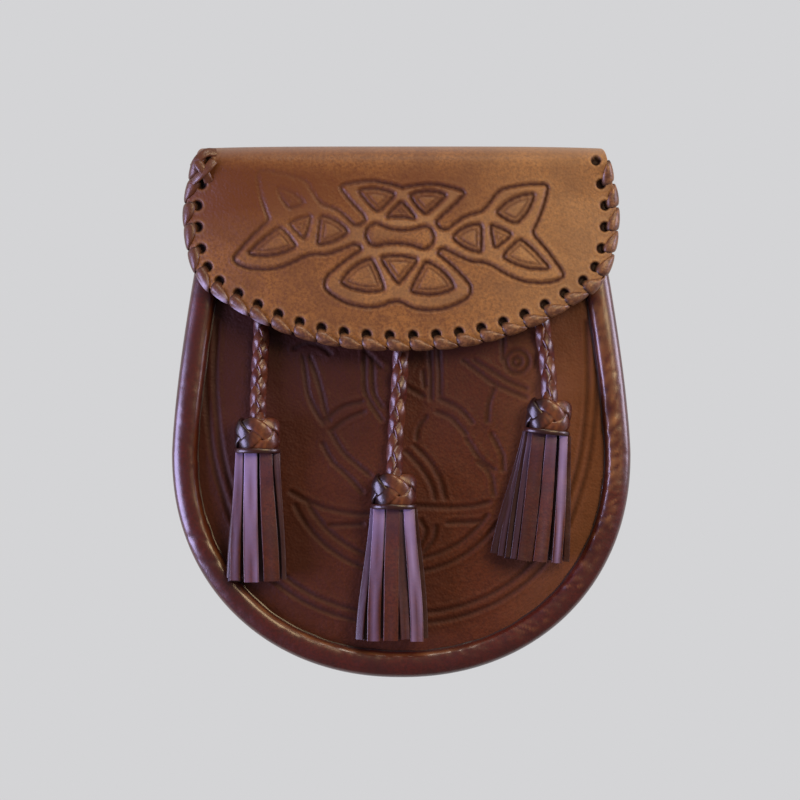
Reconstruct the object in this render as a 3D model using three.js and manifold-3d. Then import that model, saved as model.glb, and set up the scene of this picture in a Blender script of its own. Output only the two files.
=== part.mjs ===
// A leather day sporran lying on its back: +X to its right, +Y towards its fold, +Z out of its front.
// All sizes are in millimetres. The origin is under the middle of the pouch, on the surface it lies on.
import * as THREE from "three";
import { mergeVertices } from "three/addons/utils/BufferGeometryUtils.js";
import Module from "manifold-3d";

const wasm = await Module();
wasm.setup();

// Pouch
const pouchWidth = 178;
const pouchHeight = 206;
const pouchDepth = 40;
const widestLevel = 86.5; // height above the bottom at which the pouch is widest
const bottomFullness = 2.13; // exponent of the bottom's superellipse, 2 is a plain ellipse
const sideTaper = 15; // how far each side leans in between the widest level and the gusset's end
const taperPower = 1.4;
const mouthDrop = 3.5; // how much shallower the front is at the mouth
const mouthDropLength = 110; // how far below the fold the front starts to drop
const gussetEnd = 14; // below the fold's top
const frontMouth = 20;
const backMouth = 8;
const frontDome = 3;
const domePower = 2.2;
const domeLevel = 92; // height of the dome's middle
const seatGap = 0.3; // between pieces that touch

// Leather
const gussetLeather = 1.6;
const frontLeather = 2;
const backLeather = 2;
const flapLeather = 2.4;
const loopLeather = 1.6;

// Turned rolls of the gusset
const rollWidth = 10;
const frontRollRise = 4.2;
const waist = 3; // how far the side wall lies in from the rolls
const panelTuck = 4; // how far each panel reaches under the rolls

// Strap loops on the back
const loopRoom = 5; // clear height for the strap
const loopWidth = 22;
const loopLength = 46;
const loopFoot = 8;
const loopRise = 5; // length of the sloping stretch between foot and bridge
const loopSpacing = 68;
const loopDrop = 62; // from the fold's top to the loops' middle

// Flap
const flapHalfWidth = 83.3;
const flapDrop = 78.3; // from the fold's top to the middle of the lower edge
const cornerDrop = 54; // from the fold's top to the lower corners
const cornerHalfWidth = 75.4;
const lowerEdgePower = 2.4;
const tailDrop = 34;
const tailHalfWidth = 60;
const tailFlare = 2; // how much wider the flap is at the end of its back turn
const frontFoldRadius = 8;
const backFoldRadius = 5;
const flapSlope = THREE.MathUtils.degToRad(3.7);
const flapCrown = 7; // how far the side edges droop
const foldCrown = 1;
const crownPower = 4;
const crownRun = 14; // length past the fold over which the droop comes in
const flapRest = 2; // room over the rolls for the lacing under the flap's edge

// Lacing along the flap's edge
const holeInset = 4.6;
const holeDiameter = 3.8;
const stitchPitch = 9;
const laceThickness = 1.1;
const laceWidth = 4.4;
const laceWaist = 2.3; // the lace gathered in its hole
const laceGap = 0.75;
const laceLead = 4; // from the first hole to the end of the fold's front turn

// Tassels
const cordDiameter = 6;
const knotLength = 13.5;
const knotHalfWidth = 8.8;
const knotHalfDepth = 6.3;
const knotWall = 1.9;
const plaitReach = 1.5; // how far the plait's end goes into its knot
const coreDepth = 1.3; // from the plait's end to the gathered heads of the fringe
const stripWidth = 5.2;
const stripThickness = 1.3;
const fringeHalfWidth = 9.6; // below the knot
const fringeHalfDepth = 4.4;
const fringeSag = 1.8; // from the knot's height down to the panel
const coreFoot = 4; // how far those heads reach below the knot
const anchorDiameter = 7;
const anchorHeight = 5.6;

// Hidden press stud that holds the flap down
const studDiameter = 12;
const studNeck = 8;
const studCap = 2;
const studDrop = 52; // from the fold's top to the stud

const backFace = loopRoom + loopLeather; // height of the back panel's outer face
const backRollRise = backFace - seatGap;

const leather = (color, roughness) => new THREE.MeshStandardMaterial({ color, roughness, metalness: 0 });
const flapBrown = leather("#8a5c3c", 0.55);
const panelBrown = leather("#532f20", 0.6);
const oxblood = leather("#5e2c20", 0.35);
const tasselBrown = leather("#6b4640", 0.4);
const brass = new THREE.MeshStandardMaterial({ color: "#8c6a3a", roughness: 0.4, metalness: 1 });

const part = new THREE.Group();
part.position.y = -pouchHeight / 2;

const add = (name, geometry, material) => {
  const mesh = new THREE.Mesh(geometry, material);
  mesh.name = name;
  part.add(mesh);
};

// Geometry helpers

// Merges a geometry's shared corners, so that it is one closed surface.
function closed(geometry) {
  const bare = geometry.index ? geometry.toNonIndexed() : geometry;
  bare.deleteAttribute("normal");
  bare.deleteAttribute("uv");
  const merged = mergeVertices(bare, 1e-4);
  merged.computeVertexNormals();
  return merged;
}

// Moves every corner of a geometry by a function of its place.
function shaped(geometry, place) {
  const corners = closed(geometry);
  const at = corners.getAttribute("position");
  for (let i = 0; i < at.count; i++) at.setXYZ(i, ...place(at.getX(i), at.getY(i), at.getZ(i)).toArray());
  corners.computeVertexNormals();
  return corners;
}

// A box of cells from 0 to 1 each way, to be shaped.
const cells = (nx, ny, nz) => new THREE.BoxGeometry(1, 1, 1, nx, ny, nz).translate(0.5, 0.5, 0.5);

const smooth = (x, low, high) => THREE.MathUtils.smoothstep(x, low, high);
const mix = THREE.MathUtils.lerp;

function toSolid(geometry) {
  const mesh = closed(geometry);
  return new wasm.Manifold(
    new wasm.Mesh({
      numProp: 3,
      vertProperties: new Float32Array(mesh.getAttribute("position").array),
      triVerts: new Uint32Array(mesh.index.array),
    }),
  );
}

function toGeometry(solid) {
  const mesh = solid.getMesh();
  const geometry = new THREE.BufferGeometry();
  geometry.setAttribute("position", new THREE.BufferAttribute(mesh.vertProperties, 3));
  geometry.setIndex(new THREE.BufferAttribute(mesh.triVerts, 1));
  geometry.computeVertexNormals();
  return geometry;
}

// Pouch outline

const gussetTop = pouchHeight - gussetEnd;
const bottomBend = (turn) => Math.max(0, turn) ** (2 / bottomFullness);

// Half of the pouch's width at a height, to the outside of the rolls.
function halfWidthAt(y) {
  if (y >= widestLevel) {
    const share = (y - widestLevel) / (gussetTop - widestLevel);
    return pouchWidth / 2 - sideTaper * share ** taperPower;
  }
  const share = Math.max(0, 1 - y / widestLevel);
  return (pouchWidth / 2) * Math.max(0, 1 - share ** bottomFullness) ** (1 / bottomFullness);
}

// The outline from the left end of the gusset, round the bottom, to the right end, moved inwards by inset.
function outline(inset, top, steps) {
  const fine = 400;
  const half = [];
  for (let i = 0; i <= fine; i++) {
    const turn = (i / fine) * (Math.PI / 2);
    const x = (pouchWidth / 2) * bottomBend(Math.sin(turn));
    half.push(new THREE.Vector2(x, widestLevel * (1 - bottomBend(Math.cos(turn)))));
  }
  for (let i = 1; i <= fine; i++) {
    const y = mix(widestLevel, top, i / fine);
    half.push(new THREE.Vector2(halfWidthAt(y), y));
  }
  const whole = [...half.slice(1).reverse().map((p) => new THREE.Vector2(-p.x, p.y)), ...half];
  const lengths = [0];
  for (let i = 1; i < whole.length; i++) lengths.push(lengths[i - 1] + whole[i].distanceTo(whole[i - 1]));
  const rows = [];
  let at = 0;
  for (let i = 0; i <= steps; i++) {
    const want = (i / steps) * lengths.at(-1);
    while (at < whole.length - 2 && lengths[at + 1] < want) at++;
    const share = (want - lengths[at]) / (lengths[at + 1] - lengths[at]);
    const along = whole[at + 1].clone().sub(whole[at]).normalize();
    const point = whole[at].clone().lerp(whole[at + 1], share);
    const out = new THREE.Vector2(along.y, -along.x);
    rows.push({ point: point.addScaledVector(out, -inset), out });
  }
  return rows;
}

// Height of the front rolls' crest above the resting surface, and of the front panel's face at its edge.
function crestAt(y) {
  return pouchDepth - mouthDrop * smooth(y, pouchHeight - mouthDropLength, pouchHeight);
}
const panelEdgeAt = (y) => crestAt(y) - frontRollRise - seatGap;

// Gusset

// One turned roll: across from its outside, as a share of its width, and rise above its lip, as a share of
// its rise.
const rollSection = [
  { across: 1.0, rise: 0.0 },
  { across: 1.0, rise: 0.45 },
  { across: 0.8, rise: 0.87 },
  { across: 0.52, rise: 1.0 },
  { across: 0.22, rise: 0.86 },
  { across: 0.04, rise: 0.42 },
  { across: 0.0, rise: -0.15 },
  { across: 0.14, rise: -0.8 },
];

// The gusset's section at a height, from the back lip to the front lip.
function gussetSection(y) {
  const frontLip = crestAt(y) - frontRollRise;
  const back = rollSection.map((row) => [row.across * rollWidth, backRollRise * (1 - row.rise)]);
  const front = rollSection.map((row) => [row.across * rollWidth, frontLip + frontRollRise * row.rise]);
  return [...back, [waist, (backRollRise + frontLip) / 2], ...front.reverse()];
}

// Moves each point of a section inwards by the leather's thickness.
function innerSection(section, thickness) {
  return section.map(([across, height], i) => {
    const [beforeAcross, beforeHeight] = section[Math.max(0, i - 1)];
    const [afterAcross, afterHeight] = section[Math.min(section.length - 1, i + 1)];
    const length = Math.hypot(afterAcross - beforeAcross, afterHeight - beforeHeight);
    const inwardAcross = (afterHeight - beforeHeight) / length;
    const inwardHeight = -(afterAcross - beforeAcross) / length;
    return [across + inwardAcross * thickness, height + inwardHeight * thickness];
  });
}

function gusset() {
  const stations = 28;
  const rows = outline(0, gussetTop, stations);
  const sectionSteps = 2 * rollSection.length;
  return shaped(cells(stations, sectionSteps, 1), (along, round, wall) => {
    const { point, out } = rows[Math.round(along * stations)];
    const outer = gussetSection(point.y);
    const section = wall > 0.5 ? outer : innerSection(outer, gussetLeather);
    const [across, height] = section[Math.round(round * sectionSteps)];
    return new THREE.Vector3(point.x - out.x * across, point.y - out.y * across, height);
  });
}

// Panels

// A panel's outline, tucked under the rolls and cut straight at its mouth.
function panelOutline(mouth, steps) {
  return outline(rollWidth - panelTuck, pouchHeight - mouth, steps).map((row) => row.point);
}

const frontOutline = panelOutline(frontMouth, 160);
const domeMiddle = new THREE.Vector2(0, domeLevel);

// The point where a ray from the dome's middle meets the front panel's outline.
function frontRim(angle) {
  const ray = new THREE.Vector2(Math.cos(angle), Math.sin(angle));
  let found = null;
  frontOutline.forEach((a, i) => {
    const b = frontOutline[(i + 1) % frontOutline.length];
    const side = b.clone().sub(a);
    const from = a.clone().sub(domeMiddle);
    const turn = ray.cross(side);
    const far = from.cross(side) / turn;
    const share = from.cross(ray) / turn;
    if (far > 0 && share >= -1e-6 && share <= 1 + 1e-6) found = far;
  });
  return domeMiddle.clone().addScaledVector(ray, found);
}

const tuckShare = 0.95; // inside this share of the way to its edge, the front panel domes
const domeAt = (share) => frontDome * (1 - Math.min(1, share / tuckShare) ** domePower);

// Height of the front panel's face at a place.
function frontFaceAt(x, y) {
  const from = new THREE.Vector2(x, y).sub(domeMiddle);
  const rim = frontRim(Math.atan2(from.y, from.x));
  return panelEdgeAt(y) + domeAt(from.length() / rim.distanceTo(domeMiddle));
}

function frontPanel() {
  const rings = [0, 0.25, 0.5, 0.75, tuckShare, 1];
  const section = [
    ...rings.map((r) => new THREE.Vector2(r, 0)),
    ...[...rings].reverse().map((r) => new THREE.Vector2(r, 1)),
  ];
  const disc = new THREE.LatheGeometry(section, 36);
  return shaped(disc, (x, wall, z) => {
    const share = Math.hypot(x, z);
    const angle = Math.atan2(-z, x);
    const point = domeMiddle.clone().lerp(frontRim(angle), share);
    const face = panelEdgeAt(point.y) + domeAt(share);
    return new THREE.Vector3(point.x, point.y, face - (1 - wall) * frontLeather);
  });
}

function backPanel() {
  const shape = new THREE.Shape(panelOutline(backMouth, 48));
  const plate = new THREE.ExtrudeGeometry(shape, { depth: backLeather, bevelEnabled: false });
  return closed(plate.translate(0, 0, backFace));
}

// Flap

const foldTop = pouchHeight - flapLeather / 2; // the middle of the leather at the fold
const tailLevel = backFace - seatGap - flapLeather / 2;
const cornerLevel = pouchHeight - cornerDrop;
const droopAt = (x) => Math.abs(x / flapHalfWidth) ** crownPower;
const cornerRoll = halfWidthAt(cornerLevel) - rollWidth / 2;
const cornerHeight =
  crestAt(cornerLevel) + seatGap + flapRest + flapLeather / 2 + flapCrown * droopAt(cornerRoll);
const frontTurnY = foldTop - frontFoldRadius; // centre of the fold's front turn
const frontTurnEnd = frontTurnY + frontFoldRadius * Math.sin(flapSlope);
const frontTurnHeight = cornerHeight - (frontTurnEnd - cornerLevel) * Math.tan(flapSlope);
const frontTurnZ = frontTurnHeight - frontFoldRadius * Math.cos(flapSlope);
const backTurnY = foldTop - backFoldRadius;
const backTurnZ = tailLevel + backFoldRadius;

// The flap's middle section in stretches, from the tail's end over the fold to the lower edge.
const tailLength = backTurnY - (pouchHeight - tailDrop);
const backTurnLength = (backFoldRadius * Math.PI) / 2;
const topLength = frontTurnZ - backTurnZ;
const frontTurnLength = frontFoldRadius * (Math.PI / 2 - flapSlope);
const frontLength = (frontTurnEnd - (pouchHeight - flapDrop)) / Math.cos(flapSlope);
const cornerLength = (frontTurnEnd - cornerLevel) / Math.cos(flapSlope);
const topStart = tailLength + backTurnLength;
const frontTurnStart = topStart + topLength;
const frontStart = frontTurnStart + frontTurnLength;

// Place and outward direction of the middle section, at a length from the tail's end.
function flapSection(length) {
  if (length <= tailLength) {
    return { y: pouchHeight - tailDrop + length, z: tailLevel, outY: 0, outZ: -1 };
  }
  if (length <= topStart) {
    const turn = (length - tailLength) / backFoldRadius;
    const [outY, outZ] = [Math.sin(turn), -Math.cos(turn)];
    return { y: backTurnY + backFoldRadius * outY, z: backTurnZ + backFoldRadius * outZ, outY, outZ };
  }
  if (length <= frontTurnStart) return { y: foldTop, z: backTurnZ + length - topStart, outY: 1, outZ: 0 };
  const turn = Math.min(length - frontTurnStart, frontTurnLength) / frontFoldRadius;
  const [outY, outZ] = [Math.cos(turn), Math.sin(turn)];
  const straight = Math.max(0, length - frontStart);
  return {
    y: frontTurnY + frontFoldRadius * outY - straight * Math.cos(flapSlope),
    z: frontTurnZ + frontFoldRadius * outZ + straight * Math.sin(flapSlope),
    outY,
    outZ,
  };
}

// How far the flap's edges droop at a length from the tail's end.
function crownAt(length) {
  const overTop = foldCrown * smooth(length, tailLength, frontTurnStart);
  return overTop + (flapCrown - foldCrown) * smooth(length, frontTurnStart, frontStart + crownRun);
}

// A point of the flap, out from the middle of its leather.
function flapPoint(x, length, out) {
  const at = flapSection(length);
  const lift = out - crownAt(length) * droopAt(x);
  return new THREE.Vector3(x, at.y + at.outY * lift, at.z + at.outZ * lift);
}

// The flap's side edge: along the flap, and its half width as a share of the widest.
const sideEdge = [
  { length: 0, half: tailHalfWidth / flapHalfWidth },
  { length: tailLength, half: tailHalfWidth / flapHalfWidth },
  { length: topStart, half: (tailHalfWidth + tailFlare) / flapHalfWidth },
  { length: frontTurnStart, half: 0.93 },
  { length: frontStart, half: 0.965 },
  { length: mix(frontStart, frontStart + cornerLength, 0.3), half: 1.0 },
  { length: mix(frontStart, frontStart + cornerLength, 0.6), half: 0.992 },
  { length: mix(frontStart, frontStart + cornerLength, 0.85), half: 0.957 },
  { length: frontStart + cornerLength, half: cornerHalfWidth / flapHalfWidth },
];

function sideHalfAt(length) {
  const i = Math.max(1, sideEdge.findIndex((row) => row.length >= length - 1e-9));
  const [low, high] = [sideEdge[i - 1], sideEdge[i]];
  const before = sideEdge[Math.max(0, i - 2)];
  const after = sideEdge[Math.min(sideEdge.length - 1, i + 1)];
  const run = high.length - low.length;
  const share = (length - low.length) / run;
  const slopeLow = (high.half - before.half) / (high.length - before.length);
  const slopeHigh = (after.half - low.half) / (after.length - low.length);
  const [s2, s3] = [share ** 2, share ** 3];
  const half =
    low.half * (2 * s3 - 3 * s2 + 1) +
    slopeLow * run * (s3 - 2 * s2 + share) +
    high.half * (3 * s2 - 2 * s3) +
    slopeHigh * run * (s3 - s2);
  return half * flapHalfWidth;
}

// Lengths of the flap's rows of cells, closer where it turns.
function flapRows() {
  const stretches = [
    { from: 0, to: tailLength, cells: 2 },
    { from: tailLength, to: topStart, cells: 3 },
    { from: topStart, to: frontTurnStart, cells: 3 },
    { from: frontTurnStart, to: frontStart, cells: 5 },
    { from: frontStart, to: frontStart + cornerLength, cells: 8 },
  ];
  const rows = [0];
  for (const { from, to, cells: count } of stretches) {
    for (let i = 1; i <= count; i++) rows.push(mix(from, to, i / count));
  }
  return rows;
}

// How far the middle of a row runs below its ends, which lets the last row follow the lower edge.
function bowAt(length, share) {
  const deep = smooth(length, frontStart, frontStart + cornerLength) * (frontLength - cornerLength);
  return deep * (1 - Math.abs(share) ** lowerEdgePower);
}

// The lacing's edge as flat places (across, length), from the fold's left front turn to the right one.
function flapEdge() {
  const places = [];
  const steps = 60;
  for (let i = 0; i <= steps; i++) {
    const length = mix(frontStart - laceLead, frontStart + cornerLength, i / steps);
    places.push(new THREE.Vector2(-sideHalfAt(length), length));
  }
  for (let i = 1; i <= 2 * steps; i++) {
    const share = -1 + i / steps;
    const length = frontStart + cornerLength + bowAt(frontStart + cornerLength, share);
    places.push(new THREE.Vector2(share * cornerHalfWidth, length));
  }
  for (let i = 1; i <= steps; i++) {
    const length = mix(frontStart + cornerLength, frontStart - laceLead, i / steps);
    places.push(new THREE.Vector2(sideHalfAt(length), length));
  }
  const lengths = [0];
  for (let i = 1; i < places.length; i++) lengths.push(lengths[i - 1] + places[i].distanceTo(places[i - 1]));
  return { places, lengths };
}

const edge = flapEdge();
const stitchCount = Math.round(edge.lengths.at(-1) / stitchPitch);
const pitch = edge.lengths.at(-1) / stitchCount;

// A place on the flap's edge and its inward direction, in the flap's flat coordinates.
function edgeAt(distance) {
  const reach = THREE.MathUtils.clamp(distance, 0, edge.lengths.at(-1) - 1e-6);
  const i = Math.max(0, edge.lengths.findIndex((length) => length > reach) - 1);
  const share = (reach - edge.lengths[i]) / (edge.lengths[i + 1] - edge.lengths[i]);
  const along = (at) => {
    const low = Math.max(0, at - 3);
    const high = Math.min(edge.places.length - 1, at + 4);
    return edge.places[high].clone().sub(edge.places[low]).normalize();
  };
  const run = along(i);
  const place = edge.places[i].clone().lerp(edge.places[i + 1], share);
  return { place, inward: new THREE.Vector2(run.y, -run.x) };
}

// The spot on the flap at an inset from its edge, held off the leather's middle by out.
function edgePoint(distance, inset, out) {
  const { place, inward } = edgeAt(distance);
  const flat = place.clone().addScaledVector(inward, inset);
  return flapPoint(flat.x, flat.y, out);
}

function holes() {
  const list = [];
  for (let i = 0; i <= stitchCount; i++) {
    const low = edgePoint(i * pitch, holeInset, -flapLeather);
    const high = edgePoint(i * pitch, holeInset, flapLeather);
    const pin = new THREE.CylinderGeometry(holeDiameter / 2, holeDiameter / 2, low.distanceTo(high), 6);
    const turn = new THREE.Quaternion().setFromUnitVectors(
      new THREE.Vector3(0, 1, 0),
      high.clone().sub(low).normalize(),
    );
    const middle = low.add(high).multiplyScalar(0.5);
    list.push(pin.applyQuaternion(turn).translate(middle.x, middle.y, middle.z));
  }
  return list;
}

function flap() {
  const rows = flapRows();
  const columns = 18;
  const sheet = shaped(cells(columns, rows.length - 1, 1), (across, up, wall) => {
    const row = rows[Math.round((1 - up) * (rows.length - 1))];
    const share = 2 * across - 1;
    const x = share * sideHalfAt(row);
    return flapPoint(x, row + bowAt(row, share), (wall - 0.5) * flapLeather);
  });
  const pins = holes().map(toSolid);
  return toGeometry(pins.reduce((left, pin) => left.subtract(pin), toSolid(sheet)));
}

// One stitch of the lace from a hole over the front, round the edge, over the back and up the next hole:
// advance along the edge as a share of the pitch, inset and out as shares of their reach, width as a share.
const stitch = [
  { advance: 0.0, inset: 1.0, out: 1.1, wide: 0 },
  { advance: 0.2, inset: 0.6, out: 1.0, wide: 0.8 },
  { advance: 0.42, inset: 0.0, out: 1.0, wide: 1 },
  { advance: 0.5, inset: -1.0, out: 0.0, wide: 1 },
  { advance: 0.58, inset: 0.0, out: -1.0, wide: 1 },
  { advance: 0.8, inset: 0.6, out: -1.0, wide: 0.8 },
  { advance: 1.0, inset: 1.0, out: -1.1, wide: 0 },
];

function lacePath() {
  const hold = flapLeather / 2 + laceGap + laceThickness / 2;
  const stations = [];
  for (let i = 0; i < stitchCount; i++) {
    stitch.forEach((row) => {
      const distance = (i + row.advance) * pitch;
      const inset = row.inset < 0 ? -(laceGap + laceThickness) : row.inset * holeInset;
      const width = mix(laceWaist, laceWidth, row.wide);
      const [middle, further] = [0, 1].map((step) => edgePoint(distance + step, inset, row.out * hold));
      const nearer = edgePoint(distance - 1, inset, row.out * hold);
      stations.push({ middle, ahead: further.sub(nearer).normalize(), width });
    });
  }
  return stations;
}

function lacing() {
  const stations = lacePath();
  const last = stations.length - 1;
  return shaped(cells(1, last, 1), (side, along, wall) => {
    const i = Math.round(along * last);
    const { middle, ahead, width } = stations[i];
    const before = stations[Math.max(0, i - 1)].middle;
    const after = stations[Math.min(last, i + 1)].middle;
    const travel = after.clone().sub(before).normalize();
    const across = ahead.clone().addScaledVector(travel, -ahead.dot(travel)).normalize();
    const out = across.clone().cross(travel).normalize();
    return middle
      .clone()
      .addScaledVector(across, (side - 0.5) * width)
      .addScaledVector(out, (wall - 0.5) * laceThickness);
  });
}

// Strap loops and stud

// A strip of leather seen from its side, as a closed outline: a path, and the same path moved by a thickness.
function stripOutline(path, thickness) {
  const moved = path.map((point, i) => {
    const before = i > 0 ? point.clone().sub(path[i - 1]).normalize() : null;
    const after = i < path.length - 1 ? path[i + 1].clone().sub(point).normalize() : null;
    const ways = [before ?? after, after ?? before];
    const [first, second] = ways.map((way) => new THREE.Vector2(-way.y, way.x));
    const mitre = first.clone().add(second).multiplyScalar(thickness / (1 + first.dot(second)));
    return point.clone().add(mitre);
  });
  return new THREE.Shape([...path, ...moved.reverse()]);
}

function strapLoop(x) {
  const reach = loopLength / 2;
  const flat = reach - loopFoot - loopRise;
  const footLevel = backFace - seatGap - loopLeather;
  const path = [
    new THREE.Vector2(-reach, footLevel),
    new THREE.Vector2(-reach + loopFoot, footLevel),
    new THREE.Vector2(-flat, 0),
    new THREE.Vector2(flat, 0),
    new THREE.Vector2(reach - loopFoot, footLevel),
    new THREE.Vector2(reach, footLevel),
  ];
  const strip = new THREE.ExtrudeGeometry(stripOutline(path, loopLeather), {
    depth: loopWidth,
    bevelEnabled: false,
  });
  strip.rotateX(Math.PI / 2).rotateZ(Math.PI / 2);
  return closed(strip.translate(x - loopWidth / 2, pouchHeight - loopDrop, 0));
}

// Height of the flap's underside in its middle.
function flapUnderAt(y) {
  const past = (frontTurnEnd - y) * Math.tan(flapSlope);
  return frontTurnHeight + past - flapLeather / 2 / Math.cos(flapSlope);
}

function stud() {
  const y = pouchHeight - studDrop;
  const [cap, neck] = [studDiameter / 2, studNeck / 2];
  const foot = frontFaceAt(0, y - cap) + seatGap;
  const top = flapUnderAt(y + cap) - seatGap;
  const profile = [
    new THREE.Vector2(0, foot),
    new THREE.Vector2(cap, foot),
    new THREE.Vector2(neck, foot + studCap),
    new THREE.Vector2(neck, top - studCap),
    new THREE.Vector2(cap, top),
    new THREE.Vector2(0, top),
  ];
  return closed(new THREE.LatheGeometry(profile, 16).rotateX(Math.PI / 2).translate(0, y, 0));
}

// Tassels: the route of each plait from under the flap to its knot, as places across, down from the fold's
// top and up from the front rolls' crest, then its fringe's lean in degrees, its length and how much wider
// it is at its ends.
const routeAt = (x, drop, rise) => new THREE.Vector3(x, pouchHeight - drop, pouchDepth + rise);
const tassels = {
  left: {
    route: [
      routeAt(-54, 65.5, -1.1),
      routeAt(-54.3, 76, -0.5),
      routeAt(-54.9, 86, -0.1),
      routeAt(-55.3, 97, 1.1),
      routeAt(-55.4, 107.2, 3.8),
    ],
    lean: -0.3,
    fringe: 50,
    spread: 1.25,
  },
  centre: {
    route: [
      routeAt(0, 76, 0.5),
      routeAt(-0.6, 89, 1.3),
      routeAt(-1.5, 102, 1.7),
      routeAt(-2.4, 117, 2.6),
      routeAt(-2.8, 128.7, 5.2),
    ],
    lean: -0.5,
    fringe: 51.5,
    spread: 1.42,
  },
  right: {
    route: [
      routeAt(54, 59, -1.4),
      routeAt(54.5, 69, -0.9),
      routeAt(55.9, 79, -0.5),
      routeAt(57, 90, 0.7),
      routeAt(57.3, 100, 3.6),
    ],
    lean: -6,
    fringe: 50.5,
    spread: 1.7,
  },
};

function cord(tassel) {
  const sides = 10;
  const section = new THREE.Shape();
  section.absarc(0, 0, cordDiameter / 2, 0, 2 * Math.PI);
  const tube = new THREE.ExtrudeGeometry(section, {
    extrudePath: new THREE.CatmullRomCurve3(tassel.route),
    steps: 8,
    curveSegments: sides / 2,
    bevelEnabled: false,
  });
  return closed(tube);
}

// The plain button under the flap that a plait is fastened to.
function anchor(tassel) {
  const [start, next] = tassel.route;
  const away = start.clone().sub(next).setZ(0).normalize();
  const middle = start.clone().addScaledVector(away, anchorDiameter / 2 + seatGap);
  const button = new THREE.CylinderGeometry(anchorDiameter / 2, anchorDiameter / 2, anchorHeight, 12);
  const foot = frontFaceAt(middle.x, middle.y - anchorDiameter / 2) + seatGap;
  return closed(button.rotateX(Math.PI / 2).translate(middle.x, middle.y, foot + anchorHeight / 2));
}

// Places a piece that is modelled hanging down -Y from the plait's end.
function hung(geometry, tassel) {
  const end = tassel.route.at(-1);
  return geometry.rotateZ(THREE.MathUtils.degToRad(tassel.lean)).translate(end.x, end.y, end.z);
}

// The knot's barrel from its top: how far down, and its girth, as shares of its length and half width.
const knotSection = [
  { down: 0.0, girth: 0.85 },
  { down: 0.14, girth: 0.96 },
  { down: 0.5, girth: 1.0 },
  { down: 0.86, girth: 0.98 },
  { down: 1.0, girth: 0.87 },
];
const knotFlat = knotHalfDepth / knotHalfWidth;
const knotBore = knotHalfWidth - knotWall;
const knotFoot = plaitReach - knotLength;
const coreHalfWidth = knotBore - seatGap / knotFlat;

function knot(tassel) {
  const outside = knotSection.map(
    (row) => new THREE.Vector2(row.girth * knotHalfWidth, plaitReach - row.down * knotLength),
  );
  const profile = [
    new THREE.Vector2(knotBore, knotFoot),
    ...outside.reverse(),
    new THREE.Vector2(knotBore, plaitReach),
    new THREE.Vector2(knotBore, knotFoot),
  ];
  return hung(closed(new THREE.LatheGeometry(profile, 16).scale(1, 1, knotFlat)), tassel);
}

// The strips of a fringe: their places across and up as shares of its half width and half depth, their turn
// in degrees, how far their ends wander as a share of their width, and how much shorter they are.
const strips = [
  { across: -0.8, up: 0.5, turn: 26, sway: -0.2, short: 1.5 },
  { across: -0.42, up: 0.88, turn: 10, sway: 0.1, short: 0 },
  { across: 0.02, up: 1.0, turn: -4, sway: -0.1, short: 1 },
  { across: 0.42, up: 0.85, turn: -14, sway: 0.2, short: 0.4 },
  { across: 0.8, up: 0.48, turn: -28, sway: 0.1, short: 2.4 },
  { across: -0.96, up: -0.05, turn: 10, sway: 0.1, short: 0.6 },
  { across: 0.97, up: -0.02, turn: -8, sway: -0.2, short: 0 },
  { across: -0.6, up: -0.75, turn: -16, sway: 0.1, short: 1.2 },
  { across: -0.2, up: -1.0, turn: -5, sway: -0.2, short: 0.3 },
  { across: 0.24, up: -1.0, turn: 6, sway: 0.2, short: 1.6 },
  { across: 0.62, up: -0.75, turn: 18, sway: -0.1, short: 0.8 },
];
const stripStations = [-0.04, 0.02, 0.16, 0.55, 1]; // down from the knot, as shares of the fringe

function strip(row, tassel) {
  const last = stripStations.length - 1;
  const turn = THREE.MathUtils.degToRad(row.turn);
  return shaped(cells(1, last, 1), (side, up, wall) => {
    const down = stripStations[Math.round((1 - up) * last)];
    const flare = smooth(down, 0, 0.16);
    const halfWidth = mix(coreHalfWidth - stripWidth / 2, fringeHalfWidth - stripWidth / 2, flare);
    const halfDepth = mix(coreHalfWidth * knotFlat, fringeHalfDepth, flare) - stripThickness;
    const spread = 1 + (tassel.spread - 1) * Math.max(0, down);
    const x = row.across * halfWidth * spread + row.sway * stripWidth * down ** 2;
    const across = (side - 0.5) * mix(stripWidth * 0.7, stripWidth, flare);
    const thick = (wall - 0.5) * stripThickness;
    const sag = fringeSag * smooth(down, 0, 0.3);
    return new THREE.Vector3(
      x + across * Math.cos(turn) + thick * Math.sin(turn),
      knotFoot - down * (tassel.fringe - row.short),
      row.up * halfDepth - sag - across * Math.sin(turn) + thick * Math.cos(turn),
    );
  });
}

function fringe(tassel) {
  const core = [
    new THREE.Vector2(0, knotFoot - coreFoot),
    new THREE.Vector2(coreHalfWidth * 0.6, knotFoot - coreFoot),
    new THREE.Vector2(coreHalfWidth, knotFoot),
    new THREE.Vector2(coreHalfWidth, -coreDepth),
    new THREE.Vector2(0, -coreDepth),
  ];
  const head = toSolid(new THREE.LatheGeometry(core, 12).scale(1, 1, knotFlat));
  const bundle = strips.reduce((left, row) => left.add(toSolid(strip(row, tassel))), head);
  return hung(toGeometry(bundle), tassel);
}

add("back_panel", backPanel(), panelBrown);
add("front_panel", frontPanel(), panelBrown);
add("gusset", gusset(), oxblood);
add("flap", flap(), flapBrown);
add("flap_lacing", lacing(), flapBrown);
add("press_stud", stud(), brass);
add("strap_loop_left", strapLoop(-loopSpacing / 2), oxblood);
add("strap_loop_right", strapLoop(loopSpacing / 2), oxblood);
for (const [side, tassel] of Object.entries(tassels)) {
  add(`tassel_anchor_${side}`, anchor(tassel), tasselBrown);
  add(`tassel_cord_${side}`, cord(tassel), tasselBrown);
  add(`tassel_knot_${side}`, knot(tassel), tasselBrown);
  add(`tassel_fringe_${side}`, fringe(tassel), tasselBrown);
}

export default part;
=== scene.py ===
"""Looks of a leather day sporran that lies on its back and is seen from straight above."""

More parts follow.
